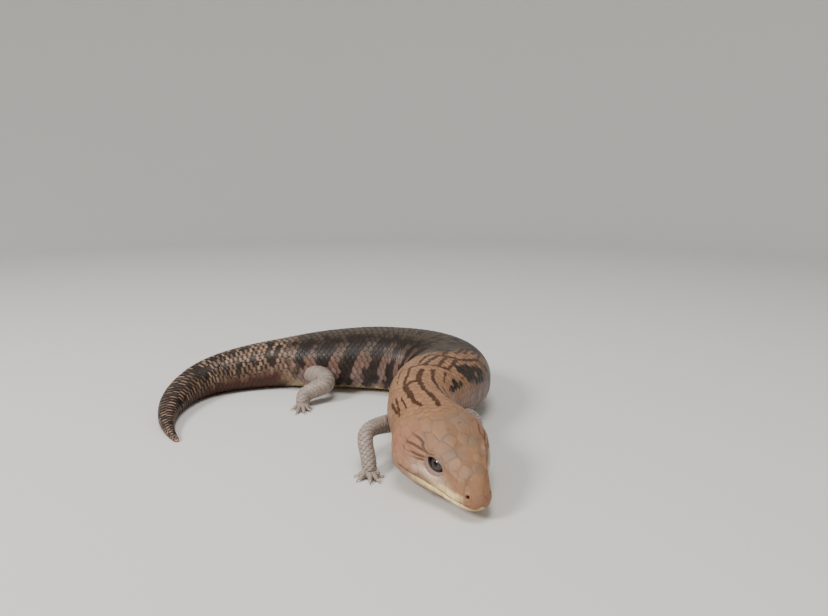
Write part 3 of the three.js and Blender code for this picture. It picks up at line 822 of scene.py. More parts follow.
LEG_SIDES = 32
LEG_RINGS = 42
PAD_SIDES = 28
PAD_RINGS = 15
TOE_SIDES = 14
TOE_COAT = 0.1
toe_rings = np.concatenate([np.linspace(0, TOE_ROUND, 14), [0.87, 0.92, 0.96, 0.99, 1.0]])
flesh = bpy.data.collections.new("flesh of the legs")
for name, leg in LEGS.items():
    path = leg_path(leg)
    thick = curve(leg["kind"]["thick"])
    parts = [skin_over(name, [
        tube_point(path, thick, np.full(LEG_SIDES, u), circle(LEG_SIDES), -LEG_COAT)
        for u in np.linspace(0, 0.99, LEG_RINGS)])]
    parts.append(skin_over(name + " pad", [
        palm_point(leg, circle(PAD_SIDES), np.full(PAD_SIDES, rise), -TOE_COAT)
        for rise in np.sin(np.linspace(-1.4, 1.4, PAD_RINGS))]))
    for degrees, length in leg["toes"]:
        line = toe_path(leg, degrees, length)
        parts.append(skin_over(name + " toe", [
            tube_point(line, toe_thick(leg, -TOE_COAT), np.full(TOE_SIDES, u), circle(TOE_SIDES))
            for u in toe_rings]))
    for part in parts:
        bpy.context.scene.collection.objects.unlink(part)
        flesh.objects.link(part)
bpy.context.scene.collection.children.link(flesh)


# One hide covers the whole animal without a seam: head, trunk and tail as one closed skin, to which
# the lids and the legs are fused.
body_turn = np.linspace(0, 1, BODY_COLUMNS, endpoint=False)
columns = np.broadcast_to(body_turn, (len(body_rings) + len(tail_rings), BODY_COLUMNS))
body_s = np.repeat(np.concatenate([body_rings, tail_rings])[:, None], BODY_COLUMNS, 1)
inset = COAT * smooth_step(body_s - SCALE_EDGE(off_back(columns)), -0.5, 3.5)
inset *= 1 - 0.7 * smooth_step(body_s, 480, LENGTH)
body_surface = body_point(body_s, columns, -inset)
snout_tip = body_point(np.array([0.0]), np.array([0.0]))
tail_end = body_point(np.array([float(LENGTH)]), np.array([0.0]))
skin = skin_over("skin", [snout_tip, *head_surface, *body_surface, tail_end])
lid_rings = {side: lid_ring(side) for side in (-1, 1)}
for ring, _ in lid_rings.values():
    count = ring.shape[1]
    near = np.arange(LID_AROUND * count).reshape(LID_AROUND, count)
    far = np.roll(near, -1, 0)
    corners = [near, far, np.roll(far, -1, 1), np.roll(near, -1, 1)]
    faces = np.stack(corners, -1).reshape(-1, 4).tolist()
    lids = make_mesh("lids", ring.reshape(-1, 3), faces)
    face_outwards(lids)
    bpy.context.scene.collection.objects.unlink(lids)
    flesh.objects.link(lids)

fuse = skin.modifiers.new("fuse", "BOOLEAN")
fuse.operation = "UNION"
fuse.operand_type = "COLLECTION"
fuse.collection = flesh
fuse.solver = "MANIFOLD"
fused = bpy.data.meshes.new_from_object(skin.evaluated_get(bpy.context.evaluated_depsgraph_get()))
skin.modifiers.clear()
skin.data = fused
skin.data.shade_smooth()
for part in list(flesh.objects):
    bpy.data.objects.remove(part)
bpy.data.collections.remove(flesh)


# The colours lie in the hide and in its scales alike: a tan head and nape with brown lines, a grey
# brown back, flanks barred black and pinkish brown, a dark tail flecked with buff, and a pale belly.
# The back and the flanks' pinkish brown are painted darker than their own tone, as painted shade,
# and under the tail the belly is painted dark brown, also as painted shade.
# A line or blotch is its (s, turn) points and its width in millimetres.
NAPE_LINES = [
    ([(111, 0.944), (102, 0.942), (98, 0.932), (90, 0.927)], 1.6),
    ([(88, 0.928), (82, 0.931), (77, 0.932)], 2.9),
    ([(77, 0.932), (71, 0.933), (65, 0.951)], 2.0),
    ([(112, 0.905), (108, 0.889), (103, 0.884)], 1.2),
    ([(100, 0.884), (97, 0.88)], 1.2),
    ([(107, 0.999), (100, 0.994), (94, 0.994), (89, 0.999)], 2.3),
    ([(89, 0.999), (84, 0.998), (78, 1.003), (73, 1.008), (66, 1.007), (61, 1.003)], 1.7),
    ([(87.5, 0.93), (91.5, 0.952), (92.5, 0.975), (91, 0.996)], 1.6),
    ([(109, 0.043), (100, 0.053), (96, 0.057)], 2.0),
    ([(96, 0.057), (92, 0.072), (84, 0.077), (77, 0.079), (73, 0.092)], 1.6),
    ([(112, 0.094), (106, 0.108), (101, 0.118)], 1.2),
    ([(110, 0.935), (113, 0.968), (115.5, 1.008)], 2.0),
    ([(115.5, 0.008), (117, 0.055), (119, 0.098)], 2.0),
    ([(117, 0.972), (126, 0.968), (136, 0.966)], 1.5),
    ([(117, 0.998), (126, 1), (135, 1.006)], 1.8),
    ([(116.5, 0.047), (126, 0.042), (136, 0.036)], 1.9),
    ([(121, 0.089), (129, 0.082), (138, 0.075)], 2.0),
    ([(135, 0.966), (137.5, 0.99), (138.3, 1.02)], 2.2),
    ([(138.3, 0.02), (138.6, 0.04), (141.8, 0.076)], 2.6),
    ([(141.8, 0.076), (144.8, 0.092), (156.3, 0.114), (162, 0.127)], 2.2),
    ([(141, 0.015), (157, 0.008)], 1.9),
    ([(151, 0.043), (168, 0.047)], 2.0),
    ([(158, 0.067), (173, 0.064)], 1.7),
    ([(164, 0.09), (172, 0.1)], 2.0),
    ([(166, 0.122), (177, 0.121)], 2.2),
    ([(150, 0.975), (161, 0.98)], 1.6),
    ([(84, 0.824), (76, 0.83), (70, 0.846)], 1.5),
    ([(83, 0.858), (73, 0.853)], 1.2),
    ([(80, 0.887), (70, 0.888)], 1.1),
    ([(106, 0.16), (98, 0.166)], 1.4),
    ([(92, 0.11), (84, 0.118), (76, 0.124)], 1.3),
]
SHOULDER_BLOTCHES = [
    ([(130, 0.118), (138, 0.142), (147, 0.158), (154, 0.19)], 8),
    ([(132, 0.15), (135, 0.182), (150, 0.205)], 7),
    ([(113, 0.158), (108, 0.172), (103, 0.18)], 5),
    ([(124, 0.168), (116, 0.192)], 3.2),
    ([(112, 0.842), (116, 0.81), (112, 0.78)], 6),
    ([(134, 0.86), (138, 0.82), (133, 0.78)], 8),
]

# Where the tan of the nape gives way to the grey of the back, by turn from the middle of the back.
GREY_FROM = curve([
    (-0.5, 150), (-0.2, 138), (-0.07, 140), (0, 146), (0.05, 165), (0.1, 176), (0.16, 171),
    (0.3, 158), (0.5, 150)])
GREY_FADE = 9

# Where a colour sets in, as the two ends of its fade: in millimetres from the snout, or as a turn
# from the middle of the back.
TAIL_FROM = (322, 348)
# Under the tail the belly's part reaches this much higher, and there it is painted dark brown as painted
# shade.
TAIL_BELLY_WIDER = 0.12
BELLY_EDGE = (0.34, 0.41)
FLANK_FROM = (118, 150)
FLANK_EDGE = (0.13, 0.23)
MAUVE_FROM = (8, 30)
MAUVE_EDGE = (0.2, 0.3)
NET_FROM = (100, 150)

# The flanks' dark bars slant and fade over the back, which is finely specked and has a broken dark
# line along both edges.
BAR_AT = 251.7
BAR_STEP = 23.5
BAR_SLANT = 65
BARS_FROM = (150, 175)
BAR_TOP = (0.055, 0.115)
BAR_OVER_BACK = 0.22
BACK_EDGE = 0.088
BACK_EDGE_FROM = (165, 190)
SPECKS_END = (0.09, 0.15)

# Counts the tail's dark bands along it, with their middles at whole numbers.
TAIL_BANDS = curve([
    (300, 0), (337, 2), (354, 3), (370, 4), (384, 5), (397, 6), (409, 7), (420, 8), (431, 9),
    (442, 10), (453, 11), (464, 12), (476, 13), (489, 14), (503, 15), (512, 16)])


def hide_colours(s, turn):
    """How much of each colour the hide has at each place, from 0 to 1."""
    off = off_back(turn)
    side = (turn + 0.5) % 1 - 0.5
    y = side * girth(s)
    mix = {}
    past_nape = s - GREY_FROM(side) + 4 * wander(s, y, 22, 1) + 2.5 * wander(s, y, 6, 17)
    mix["trunk"] = smooth_step(past_nape, -GREY_FADE, GREY_FADE)
    mix["tail"] = smooth_step(s + 5 * wander(s, y, 22, 2), *TAIL_FROM)
    belly_edge = [edge - TAIL_BELLY_WIDER * mix["tail"] for edge in BELLY_EDGE]
    mix["belly"] = smooth_step(off + 0.018 * wander(s, y, 16, 3), *belly_edge)
    mix["flank"] = smooth_step(off + 0.02 * wander(s, y, 18, 4), *FLANK_EDGE)
    mix["flank"] *= smooth_step(s, *FLANK_FROM)
    mauve = smooth_step(off + 0.02 * wander(s, y, 14, 14), *MAUVE_EDGE)
    mauve *= 0.55 + 0.3 * wander(s, y, 11, 15)
    mix["mauve"] = np.clip(mauve * smooth_step(s, *MAUVE_FROM), 0, 0.9)
    lines = np.zeros(np.broadcast(s, turn).shape)
    for line, width in NAPE_LINES:
        away = line_distance(s, turn, line) + 0.3 * wander(s, y, 3, 5)
        lines = np.maximum(lines, 1 - smooth_step(away, 0.5 * width, 0.74 * width))
    blotches = np.zeros(lines.shape)
    for line, width in SHOULDER_BLOTCHES:
        away = line_distance(s, turn, line) + 1.2 * wander(s, y, 6, 6)
        blotches = np.maximum(blotches, 1 - smooth_step(away, 0.42 * width, 0.66 * width))
    mix["lines"] = lines * (1 - 0.5 * smooth_step(off, 0.3, 0.38))
    slanted = s - BAR_AT - BAR_SLANT * (off - 0.13) + 1.5 * wander(s, y, 24, 7)
    bar = np.cos(2 * math.pi * slanted / BAR_STEP)
    bars = smooth_step(bar + 0.35 * wander(s, y, 7, 8), -0.45, 0.1)
    bars *= smooth_step(s, *BARS_FROM) * (1 - mix["tail"])
    down = smooth_step(off + 0.025 * wander(s, y, 10, 9), *BAR_TOP)
    bars *= BAR_OVER_BACK + (1 - BAR_OVER_BACK) * down
    bars *= 1 - 0.8 * mix["belly"]
    back_edge = hump(off - BACK_EDGE, 0.03) * (0.7 + 0.5 * wander(s, y, 7, 16))
    back_edge *= smooth_step(s, *BACK_EDGE_FROM)
    specks = smooth_step(wander(0.4 * s, y, 5, 10) + 0.5 * wander(s, y, 3.5, 11), 0.1, 0.8) * 0.75
    specks *= mix["trunk"] * (1 - smooth_step(off, *SPECKS_END))
    dark = np.max([bars, back_edge, specks, blotches], 0) * (1 - mix["tail"])
    mix["dark"] = np.clip(dark, 0, 1)
    band = np.cos(2 * math.pi * (TAIL_BANDS(s) + 0.16 * wander(s, y, 26, 12)))
    mix["band"] = smooth_step(band + 0.45 * wander(s, y, 11, 13), 0.05, 0.75) * mix["tail"]
    mix["net"] = smooth_step(s, *NET_FROM) * (1 - 0.5 * mix["flank"]) * (1 - 0.8 * mix["belly"])
    return mix


# The head adds its own: a cream lower lip, a rusty snout, peach temples, grey patches on the crown,
# mauve lids, and brown seams behind the eye. A patch or spot is its place along and across the crown
# and its size.
CROWN_PATCHES = [(26.5, -5.5, 5.0), (14.5, 3.6, 3.2), (47, 6, 7), (33, 7, 5)]
CROWN_SPOTS = [(12.8, 2.3, 0.8), (12.4, 4.6, 0.9), (41, -1.5, 1.2), (45, 4, 1.3), (37, 2.5, 1.0)]
CROWN_END = (0.1, 0.16)

# Fades of the head's colours, as before, or in millimetres over or under the mouth.
LOWER_LIP_END = (26, 42)
LOWER_LIP_UNDER = (2.8, 5.5)
UPPER_LIP_FROM = (4, 10)
UPPER_LIP_END = (19, 27)
UPPER_LIP_OVER = (2.6, 5)
RUST_END = (1, 5)
PEACH = dict(along=50, length=16, top=(0.03, 0.14), end=(0.2, 0.26))
# A pale patch under and behind the eye, partly the cheek's own pale tone and partly a painted highlight.
PALE_AND_HIGHLIGHT = dict(along=28, length=9, up=5.6, width=2.6)


def head_colours(s, turn):
    """The colours of the head, with those of the rest of the hide."""
    mix = hide_colours(s, turn)
    off = off_back(turn)
    side = (turn + 0.5) % 1 - 0.5
    y = side * girth(s)
    over_lip = section(s, turn)[1] - mouth(s) + 0.4 * wander(s, y, 7, 20)
    lower = smooth_step(-over_lip, -0.1, 0.4) * (1 - smooth_step(-over_lip, *LOWER_LIP_UNDER))
    lower *= (1 - smooth_step(s, *LOWER_LIP_END)) * (0.55 + 0.45 * smooth_step(s, 1, 6))
    upper = smooth_step(over_lip, 0, 0.3) * (1 - smooth_step(over_lip, *UPPER_LIP_OVER))
    upper *= 0.65 * smooth_step(s, *UPPER_LIP_FROM) * (1 - smooth_step(s, *UPPER_LIP_END))
    mix["lip"] = np.maximum(lower, upper)
    mix["mauve"] *= (1 - mix["lip"]) * smooth_step(-over_lip, -16, -5)
    peach = hump(s - PEACH["along"], PEACH["length"])
    peach = peach * smooth_step(off, *PEACH["top"]) * (1 - smooth_step(off, *PEACH["end"]))
    rust = 0.7 * (1 - smooth_step(s, *RUST_END)) * smooth_step(over_lip, 0, 1.5)
    mix["peach"] = np.maximum(peach * (1 - mix["lip"]), rust)
    crown = np.zeros(s.shape)
    for along, across, size in CROWN_PATCHES:
        away = np.hypot(s - along, y - across) + 0.8 * wander(s, y, 6, 21)
        crown = np.maximum(crown, hump(away, size))
    clouds = 0.5 * smooth_step(wander(s, y, 13, 24) + 0.4 * wander(s, y, 5, 25), 0.2, 1.1)
    mix["crown"] = np.maximum(0.75 * crown, clouds * (1 - smooth_step(off, *CROWN_END)))
    # Partly a painted highlight: the pale patch under and behind the eye.
    mix["pale_and_highlight"] = 0.95 * hump(s - PALE_AND_HIGHLIGHT["along"], PALE_AND_HIGHLIGHT["length"])
    mix["pale_and_highlight"] *= hump(over_lip - PALE_AND_HIGHLIGHT["up"], PALE_AND_HIGHLIGHT["width"])
    spots = np.zeros(s.shape)
    for along, across, size in CROWN_SPOTS:
        away = np.hypot(s - along, y - across) + 0.4 * wander(s, y, 2.5, 22)
        spots = np.maximum(spots, 0.45 * (1 - smooth_step(away, 0.2 * size, 1.2 * size)))
    mix["lines"] = np.maximum(mix["lines"] * smooth_step(s, 56, 62), spots * (s < 50))
    mix["fold"] = hump(fold_distance(s, turn), 0.62) * smooth_step(s, 32, 34)
    return mix


# The head's and body's points before fusing, with their colours. The seams are darker; the slit of the
# mouth and the pits of nostrils and ears are painted near black as painted shade; and the skin round the
# eye has some of the lids' colour.
surface_grid = np.concatenate([head_surface.reshape(-1, 3), body_surface.reshape(-1, 3)])
grid_s = np.concatenate([head_s.ravel(), body_s.ravel()])
grid_turn = np.concatenate([head_turn.ravel(), columns.ravel()])
grid_colours = head_colours(grid_s, grid_turn)
bare = np.zeros(body_s.size)
seam_tint = hump(seam_away, 0.3) * seam_share * (1 - under_scales)
grid_colours["seam"] = np.concatenate([seam_tint.ravel(), bare])
shield_luck = np.random.default_rng(8).uniform(0.05, 0.95, len(seeds))
grid_colours["luck"] = np.concatenate([shield_luck[shield].ravel(), bare + 0.5])
# Painted shade: the pits of nostrils and ears and the mouth's slit are painted near black.
nostril_shade = 0.8 - 0.8 * smooth_step(nostril_away, 0.3, 1.1)
ear_shade = 0.9 * (1 - smooth_step(ear_away, 0.6, 1.0))
pit_shade = np.max([hump(from_mouth, 0.33) * slit, nostril_shade, ear_shade], 0)
grid_colours["pit_shade"] = np.concatenate([pit_shade.ravel(), bare])
orbit = np.min([np.linalg.norm(surface_grid - eyes[side][0], axis=1) for side in eyes], 0)
grid_colours["lid"] = 0.35 * (1 - smooth_step(orbit, 6.4, 8.8))
grid_colours["margin"] = 1 - smooth_step(orbit, 4.8, 5.6)


def paint_points(piece, values):
    """Stores named values on the points of a piece, for its finish to read."""
    for name, numbers in values.items():
        layer = piece.data.attributes.new(name, "FLOAT", "POINT")
        layer.data.foreach_set("value", np.asarray(numbers, dtype=np.float32).ravel())


def search_tree(points):
    """A tree that finds the nearest of some points to any place."""
    tree = KDTree(len(points))
    for i, point in enumerate(points):
        tree.insert(point, i)
    tree.balance()
    return tree


# Each point of the fused hide takes the colour of the nearest point of the part it came from.
SAMPLES_ROUND = 16
lid_points = np.concatenate([ring.reshape(-1, 3) for ring, _ in lid_rings.values()])
lid_out = np.concatenate([
    np.concatenate([across, 0 * across], 1).ravel() for _, across in lid_rings.values()])
leg_points = []
angle = circle(SAMPLES_ROUND)
for leg in LEGS.values():
    thick = curve(leg["kind"]["thick"])
    for u in np.linspace(0.12, 1, 36):
        row = np.full(SAMPLES_ROUND, u)
        leg_points.append(tube_point(leg_path(leg), thick, row, angle, -LEG_COAT))
    for rise in (-0.6, 0, 0.6):
        leg_points.append(palm_point(leg, angle, np.full(SAMPLES_ROUND, rise)))
    for degrees, length in leg["toes"]:
        line = toe_path(leg, degrees, length)
        for u in np.linspace(0, 1, 9):
            leg_points.append(tube_point(line, toe_thick(leg), np.full(SAMPLES_ROUND, u), angle))
all_tree = search_tree(np.concatenate([surface_grid, lid_points, *leg_points]))
place = np.empty(len(fused.vertices) * 3)
fused.vertices.foreach_get("co", place)
nearest = np.array([all_tree.find(point)[1] for point in place.reshape(-1, 3) / MM])
on_grid = nearest < len(surface_grid)
on_lid = (nearest >= len(surface_grid)) & (nearest < len(surface_grid) + len(lid_points))
pick = np.where(on_grid, nearest, 0)
out = lid_out[np.where(on_lid, nearest - len(surface_grid), 0)]
values = {name: np.where(on_grid, numbers[pick], 0) for name, numbers in grid_colours.items()}
values["lid"] = np.where(on_lid, 1 - 0.7 * smooth_step(out, 0.2, 0.9), values["lid"])
values["margin"] = np.where(on_lid, 1 - smooth_step(out, 0.06, 0.22), values["margin"])
values["limb"] = np.where(on_grid | on_lid, 0, 1)
values["rim"] = np.zeros(len(on_grid))
values["luck"] = np.where(on_grid, values["luck"], 0.5)
paint_points(skin, values)


def linear(text):
    """A colour written as six hexadecimal digits, as the linear values that a shader takes."""
    parts = [int(text[i:i + 2], 16) / 255 for i in (0, 2, 4)]
    return tuple(c / 12.92 if c <= 0.04045 else ((c + 0.055) / 1.055) ** 2.4 for c in parts) + (1,)


def add_node(tree, kind, inputs=None, **settings):
    """A node with its settings and inputs. An input is a number, a colour or another node's output."""
    node = tree.nodes.new(kind)
    for name, value in settings.items():
        setattr(node, name, value)
    for name, value in (inputs or {}).items():
        if isinstance(value, bpy.types.NodeSocket):
            tree.links.new(value, node.inputs[name])
        else:
            node.inputs[name].default_value = value
    return node


def mix_colours(tree, factor, below, above, blend="MIX"):
    """One colour laid over another by a factor."""
    node = add_node(tree, "ShaderNodeMix", {0: factor, 6: below, 7: above},
                    data_type="RGBA", blend_type=blend)
    return node.outputs[2]


def calculate(tree, operation, *values, clamp=False):
    """The result of a sum on numbers or outputs."""
    node = add_node(tree, "ShaderNodeMath", dict(enumerate(values)),
                    operation=operation, use_clamp=clamp)
    return node.outputs[0]


def noise(tree, place, scale, detail):
    """Cloudy noise through the piece, from 0 to 1, with about scale clouds to the metre."""
    given = {"Vector": place, "Scale": scale, "Detail": detail}
    return add_node(tree, "ShaderNodeTexNoise", given).outputs[0]


def measured(tree, name):
    """A value that paint_points stored on the piece."""
    return add_node(tree, "ShaderNodeAttribute", attribute_name=name).outputs["Fac"]


# Colours, as six hexadecimal digits: mostly pigments, with some painted shade and a painted highlight, as
# noted.
COLOURS = {
    # The back and flank colours on the next line are painted darker than their own tone, as painted shade.
    "Nape": "906a4d", "Shaded back": "463a2f", "Shaded flank": "6e5245", "Belly": "c8b088", "Tail": "967966",
    # The tail's underside colour on the next line is painted shade.
    "Tail underside shade": "47271c", "Brown": "3d210c", "Black": "1c120b", "Limb": "998a80",
    # The pale colour at the end of the next line is partly the cheek's own tone and partly a painted
    # highlight.
    "Mauve": "8a7470", "Lip": "f3d99c", "Peach": "976850", "Crown": "7b6958", "Pale and highlight": "dcc0ae",
    # The near black at the end of the next line is painted shade in the mouth's slit and the pits of
    # nostrils and ears.
    "Lid": "84736f", "Margin": "4a3a38", "Seam": "563828", "Pit shade": "22130f",
}

# Each layer lies over those before it, by the value of that name at each point and a share of its own.
LAYERS = [
    ("trunk", "Shaded back", 1.0), ("peach", "Peach", 0.8), ("crown", "Crown", 1.0), ("flank", "Shaded flank", 1.0),
    ("mauve", "Mauve", 1.0), ("belly", "Belly", 1.0), ("tail", "Tail ground", 1.0),
    ("lip", "Lip", 1.0), ("pale_and_highlight", "Pale and highlight", 1.0), ("lid", "Lid", 0.8), ("limb", "Limb", 1.0),
    ("lines", "Ink", 1.0), ("dark", "Black", 1.0), ("band", "Black", 1.0), ("fold", "Seam", 1.0),
    ("seam", "Seam", 0.34), ("margin", "Margin", 1.0), ("pit_shade", "Pit shade", 1.0),
]

# These are marks of dark pigment, whose edges are ragged and crisp.
MARKS = ("lines", "dark", "band")
RAGGED = (1.9, -0.45)

# Soft blotches and fine grain go through all the pigment. Scales have dark rims, and differ in tint.
CLOUD_SCALE = 150
GRAIN_SCALE = 900
NET_SHARE = 0.9


def hide_group():
    """The hide's colour, with soft blotches and a little change from scale to scale."""
    group = bpy.data.node_groups.new("hide colour", "ShaderNodeTree")
    for name, shade in COLOURS.items():
        socket = group.interface.new_socket(name, in_out="INPUT", socket_type="NodeSocketColor")
        socket.default_value = linear(shade)
    group.interface.new_socket("Color", in_out="OUTPUT", socket_type="NodeSocketColor")
    given = add_node(group, "NodeGroupInput").outputs
    place = add_node(group, "ShaderNodeTexCoord").outputs["Object"]
    cloud = noise(group, place, CLOUD_SCALE, 3.0)
    grain = noise(group, place, GRAIN_SCALE, 2.0)

    def times(*values, clamp=False):
        return calculate(group, "MULTIPLY", *values, clamp=clamp)

    def scaled(value, factor, offset, clamp=False):
        return calculate(group, "MULTIPLY_ADD", value, factor, offset, clamp=clamp)

    belly, trunk, rim = (measured(group, name) for name in ("belly", "trunk", "rim"))
    shades = {name: given[name] for name in COLOURS}
    # Under the tail the belly takes a dark brown colour, which is painted shade.
    shades["Tail ground"] = mix_colours(group, belly, given["Tail"], given["Tail underside shade"])
    shades["Ink"] = mix_colours(group, trunk, given["Brown"], given["Black"])
    ragged = calculate(group, "ADD", times(cloud, 0.5), times(grain, 0.3))
    ragged = calculate(group, "SUBTRACT", ragged, 0.4)
    uneven = scaled(cloud, 0.4, 0.74, clamp=True)
    color = given["Nape"]
    for value, shade, share in LAYERS:
        factor = measured(group, value)
        if value in MARKS:
            edge = scaled(calculate(group, "ADD", factor, ragged), *RAGGED, clamp=True)
            factor = times(times(edge, times(factor, 4.0, clamp=True)), uneven)
        color = mix_colours(group, times(factor, share), color, shades[shade])
    net = times(times(measured(group, "net"), rim), NET_SHARE)
    color = mix_colours(group, net, color, given["Black"])
    tint = scaled(measured(group, "luck"), 0.24, 0.88)
    for change in (scaled(cloud, 0.4, 0.8), scaled(grain, 0.24, 0.88), scaled(rim, -0.3, 1.0)):
        tint = times(tint, change)
    shade = add_node(group, "ShaderNodeCombineColor", {0: tint, 1: tint, 2: tint}).outputs[0]
    color = mix_colours(group, 1.0, color, shade, "MULTIPLY")
    add_node(group, "NodeGroupOutput", {"Color": color})
    return group


def grain_group():
    """Fine growth lines and pores of a scale's horn, as a height and a roughness."""
    group = bpy.data.node_groups.new("horn grain", "ShaderNodeTree")
    for name, start in (("Roughness", 0.45), ("Fineness", 1200)):
        socket = group.interface.new_socket(name, in_out="INPUT", socket_type="NodeSocketFloat")
        socket.default_value = start
    for name in ("Roughness", "Height"):
        group.interface.new_socket(name, in_out="OUTPUT", socket_type="NodeSocketFloat")
    given = add_node(group, "NodeGroupInput").outputs
    place = add_node(group, "ShaderNodeTexCoord").outputs["Object"]
    fine = noise(group, place, given["Fineness"], 4.0)
    broad = noise(group, place, 220.0, 2.0)
    change = calculate(group, "MULTIPLY_ADD", broad, 0.24, -0.12)
    rough = calculate(group, "ADD", given["Roughness"], change)
    add_node(group, "NodeGroupOutput", {"Roughness": rough, "Height": fine})
    return group


HIDE = hide_group()
GRAIN = grain_group()
GRAIN_DEPTH = 0.0002


def new_finish(name):
    """A new material with its node tree and its shader."""
    finish = bpy.data.materials.new(name)
    finish.use_nodes = True
    return finish, finish.node_tree, finish.node_tree.nodes["Principled BSDF"]


def hide_finish(name, roughness, bump):
    """A finish of skin or horn that takes its colour and grain from the two groups."""
    finish, tree, shader = new_finish(name)
    color = add_node(tree, "ShaderNodeGroup", node_tree=HIDE)
    grain = add_node(tree, "ShaderNodeGroup", node_tree=GRAIN)
    grain.inputs["Roughness"].default_value = roughness
    relief = add_node(tree, "ShaderNodeBump", {
        "Height": grain.outputs["Height"], "Strength": bump, "Distance": GRAIN_DEPTH})
    tree.links.new(color.outputs["Color"], shader.inputs["Base Color"])
    tree.links.new(grain.outputs["Roughness"], shader.inputs["Roughness"])
    tree.links.new(relief.outputs["Normal"], shader.inputs["Normal"])
    shader.inputs["Specular IOR Level"].default_value = 0.3
    return finish


skin.data.materials.clear()
skin.data.materials.append(hide_finish("bare hide", roughness=0.46, bump=0.35))
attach(skin, "root")
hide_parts(*[name for name in frame["nodes"] if not name.startswith("eye")])


# The scales are thin smooth plates of horn, wider than long, that overlap like roof tiles from the
# neck to the tail's tip. Each is rooted in the hide at its front and lies free at its rounded rear.
ROWS = 36
SCALE_STEP = curve([
    (30, 3.6), (60, 3.9), (80, 4.2), (140, 4.6), (300, 4.7), (360, 4.4), (440, 3.7), (512, 2.8)])

# Down the tail, a pair of rows merges into its neighbours at each of these places, as distance from
# the snout and turn off the back, over ROW_FADE to both sides.
ROW_PAIRS_END = [
    (318, 0.36), (334, 0.19), (352, 0.40), (372, 0.27), (398, 0.16), (424, 0.36), (456, 0.22)]
ROW_FADE = 9

# One scale, in half widths across and in steps along: its grid, its reach to all sides of its root,
# how much its corners are rounded, and its size on the map.
PLATE_ACROSS = np.array([-1, -0.9, -0.62, -0.3, 0, 0.3, 0.62, 0.9, 1])
PLATE_ALONG = np.array([0, 0.4, 0.7, 0.9, 1])
PLATE_WIDE = 0.76
PLATE_FRONT = 0.82
PLATE_REAR = 0.62
FRONT_ROUND = 0.22
REAR_ROUND = 0.34
BAKE_PATCH = 0.0015


def plate_form(across, along):
    """One scale as a closed plate: its points over the hide, and its faces.

    A point is its place across and along in half widths and steps, its lift from 0 at the rooted
    front to 1 at the free rear, whether it is on top, and how near it is to the rim.
    """
    x, v = np.meshgrid(across, along, indexing="ij")
    front = -PLATE_FRONT + FRONT_ROUND * x**2
    rear = PLATE_REAR - REAR_ROUND * np.abs(x) ** 2.3
    y = front + v * (rear - front)
    lift = (y + PLATE_FRONT) / (PLATE_FRONT + PLATE_REAR)
    rim = np.maximum(smooth_step(np.abs(x), 0.72, 1), smooth_step(v, 0.78, 1))
    top = np.stack([x, y, lift, np.ones_like(x), rim], -1).reshape(-1, 5)
    bottom = np.stack([x, y, lift, 0 * x, 1 + 0 * x], -1)[:, [0, -1]].reshape(-1, 5)
    points = np.concatenate([top, bottom])
    wide, deep = len(across), len(along)
    under = wide * deep
    faces = [(i * deep + j, (i + 1) * deep + j, (i + 1) * deep + j + 1, i * deep + j + 1)
             for i in range(wide - 1) for j in range(deep - 1)]
    for i in range(wide - 1):
        front = i * deep
        rear = front + deep - 1
        below = under + 2 * i
        faces.append((front, below, below + 2, front + deep))
        faces.append((rear + deep, below + 3, below + 1, rear))
        faces.append((below, below + 1, below + 3, below + 2))
    last = (wide - 1) * deep
    below = under + 2 * (wide - 1)
    faces.append((*range(deep), under + 1, under))
    faces.append((*reversed(range(last, last + deep)), below, below + 1))
    return points, faces


def scale_rows():
    """Each scale's root as (s, turn, width in turns, step), in rows that thin out down the tail."""
    s = np.arange(0, LENGTH, 0.5)
    count = np.concatenate([[0], np.cumsum(0.5 / SCALE_STEP(s[:-1] + 0.25))])
    spread = np.ones((ROWS, len(s)))
    middle = (np.arange(ROWS) + 0.5) / ROWS
    for end, off in ROW_PAIRS_END:
        for side in (off, 1 - off):
            alive = spread[:, np.searchsorted(s, end)] > 0.5
            turn_now = np.cumsum(alive) / alive.sum()
            away = np.where(alive, np.abs(turn_now - side), 9)
            for row in np.argsort(away, kind="stable")[:2]:
                spread[row] *= 1 - smooth_step(s, end - ROW_FADE, end + ROW_FADE)
    ends = np.cumsum(spread, 0) / spread.sum(0)
    starts = ends - spread / spread.sum(0)
    roots = []
    for row in range(ROWS):
        for k in range(int(count[-1]) + 1):
            at = np.interp(k + 0.5 * (row % 2), count, s)
            if at > LENGTH - 3 or np.interp(at, s, spread[row]) < 0.4:
                continue
            low, high = np.interp(at, s, starts[row]), np.interp(at, s, ends[row])
            turn = (low + high) / 2
            if at > SCALE_EDGE(off_back(turn)):
                roots.append((at, turn, high - low, SCALE_STEP(at)))
    return np.array(roots)


def scale_mesh(name, points, faces, count):
    """A mesh of many like plates. Points is an array of plates by points by three, in millimetres."""
    mesh = bpy.data.meshes.new(name)
    per = points.shape[1]
    sizes = np.array([len(face) for face in faces])
    corners = np.concatenate([np.array(face) for face in faces])
    mesh.vertices.add(count * per)
    mesh.vertices.foreach_set("co", (points * MM).astype(np.float32).ravel())
    loops = (corners[None, :] + per * np.arange(count)[:, None]).ravel()
    mesh.loops.add(len(loops))
    mesh.loops.foreach_set("vertex_index", loops.astype(np.int32))
    mesh.polygons.add(count * len(faces))
    starts = np.concatenate([[0], np.cumsum(sizes)[:-1]])
    starts = (starts[None, :] + len(corners) * np.arange(count)[:, None]).ravel()
    mesh.polygons.foreach_set("loop_start", starts)
    mesh.update(calc_edges=True)
    mesh.shade_smooth()
    piece = bpy.data.objects.new(name, mesh)
    bpy.context.scene.collection.objects.link(piece)
    return piece, corners


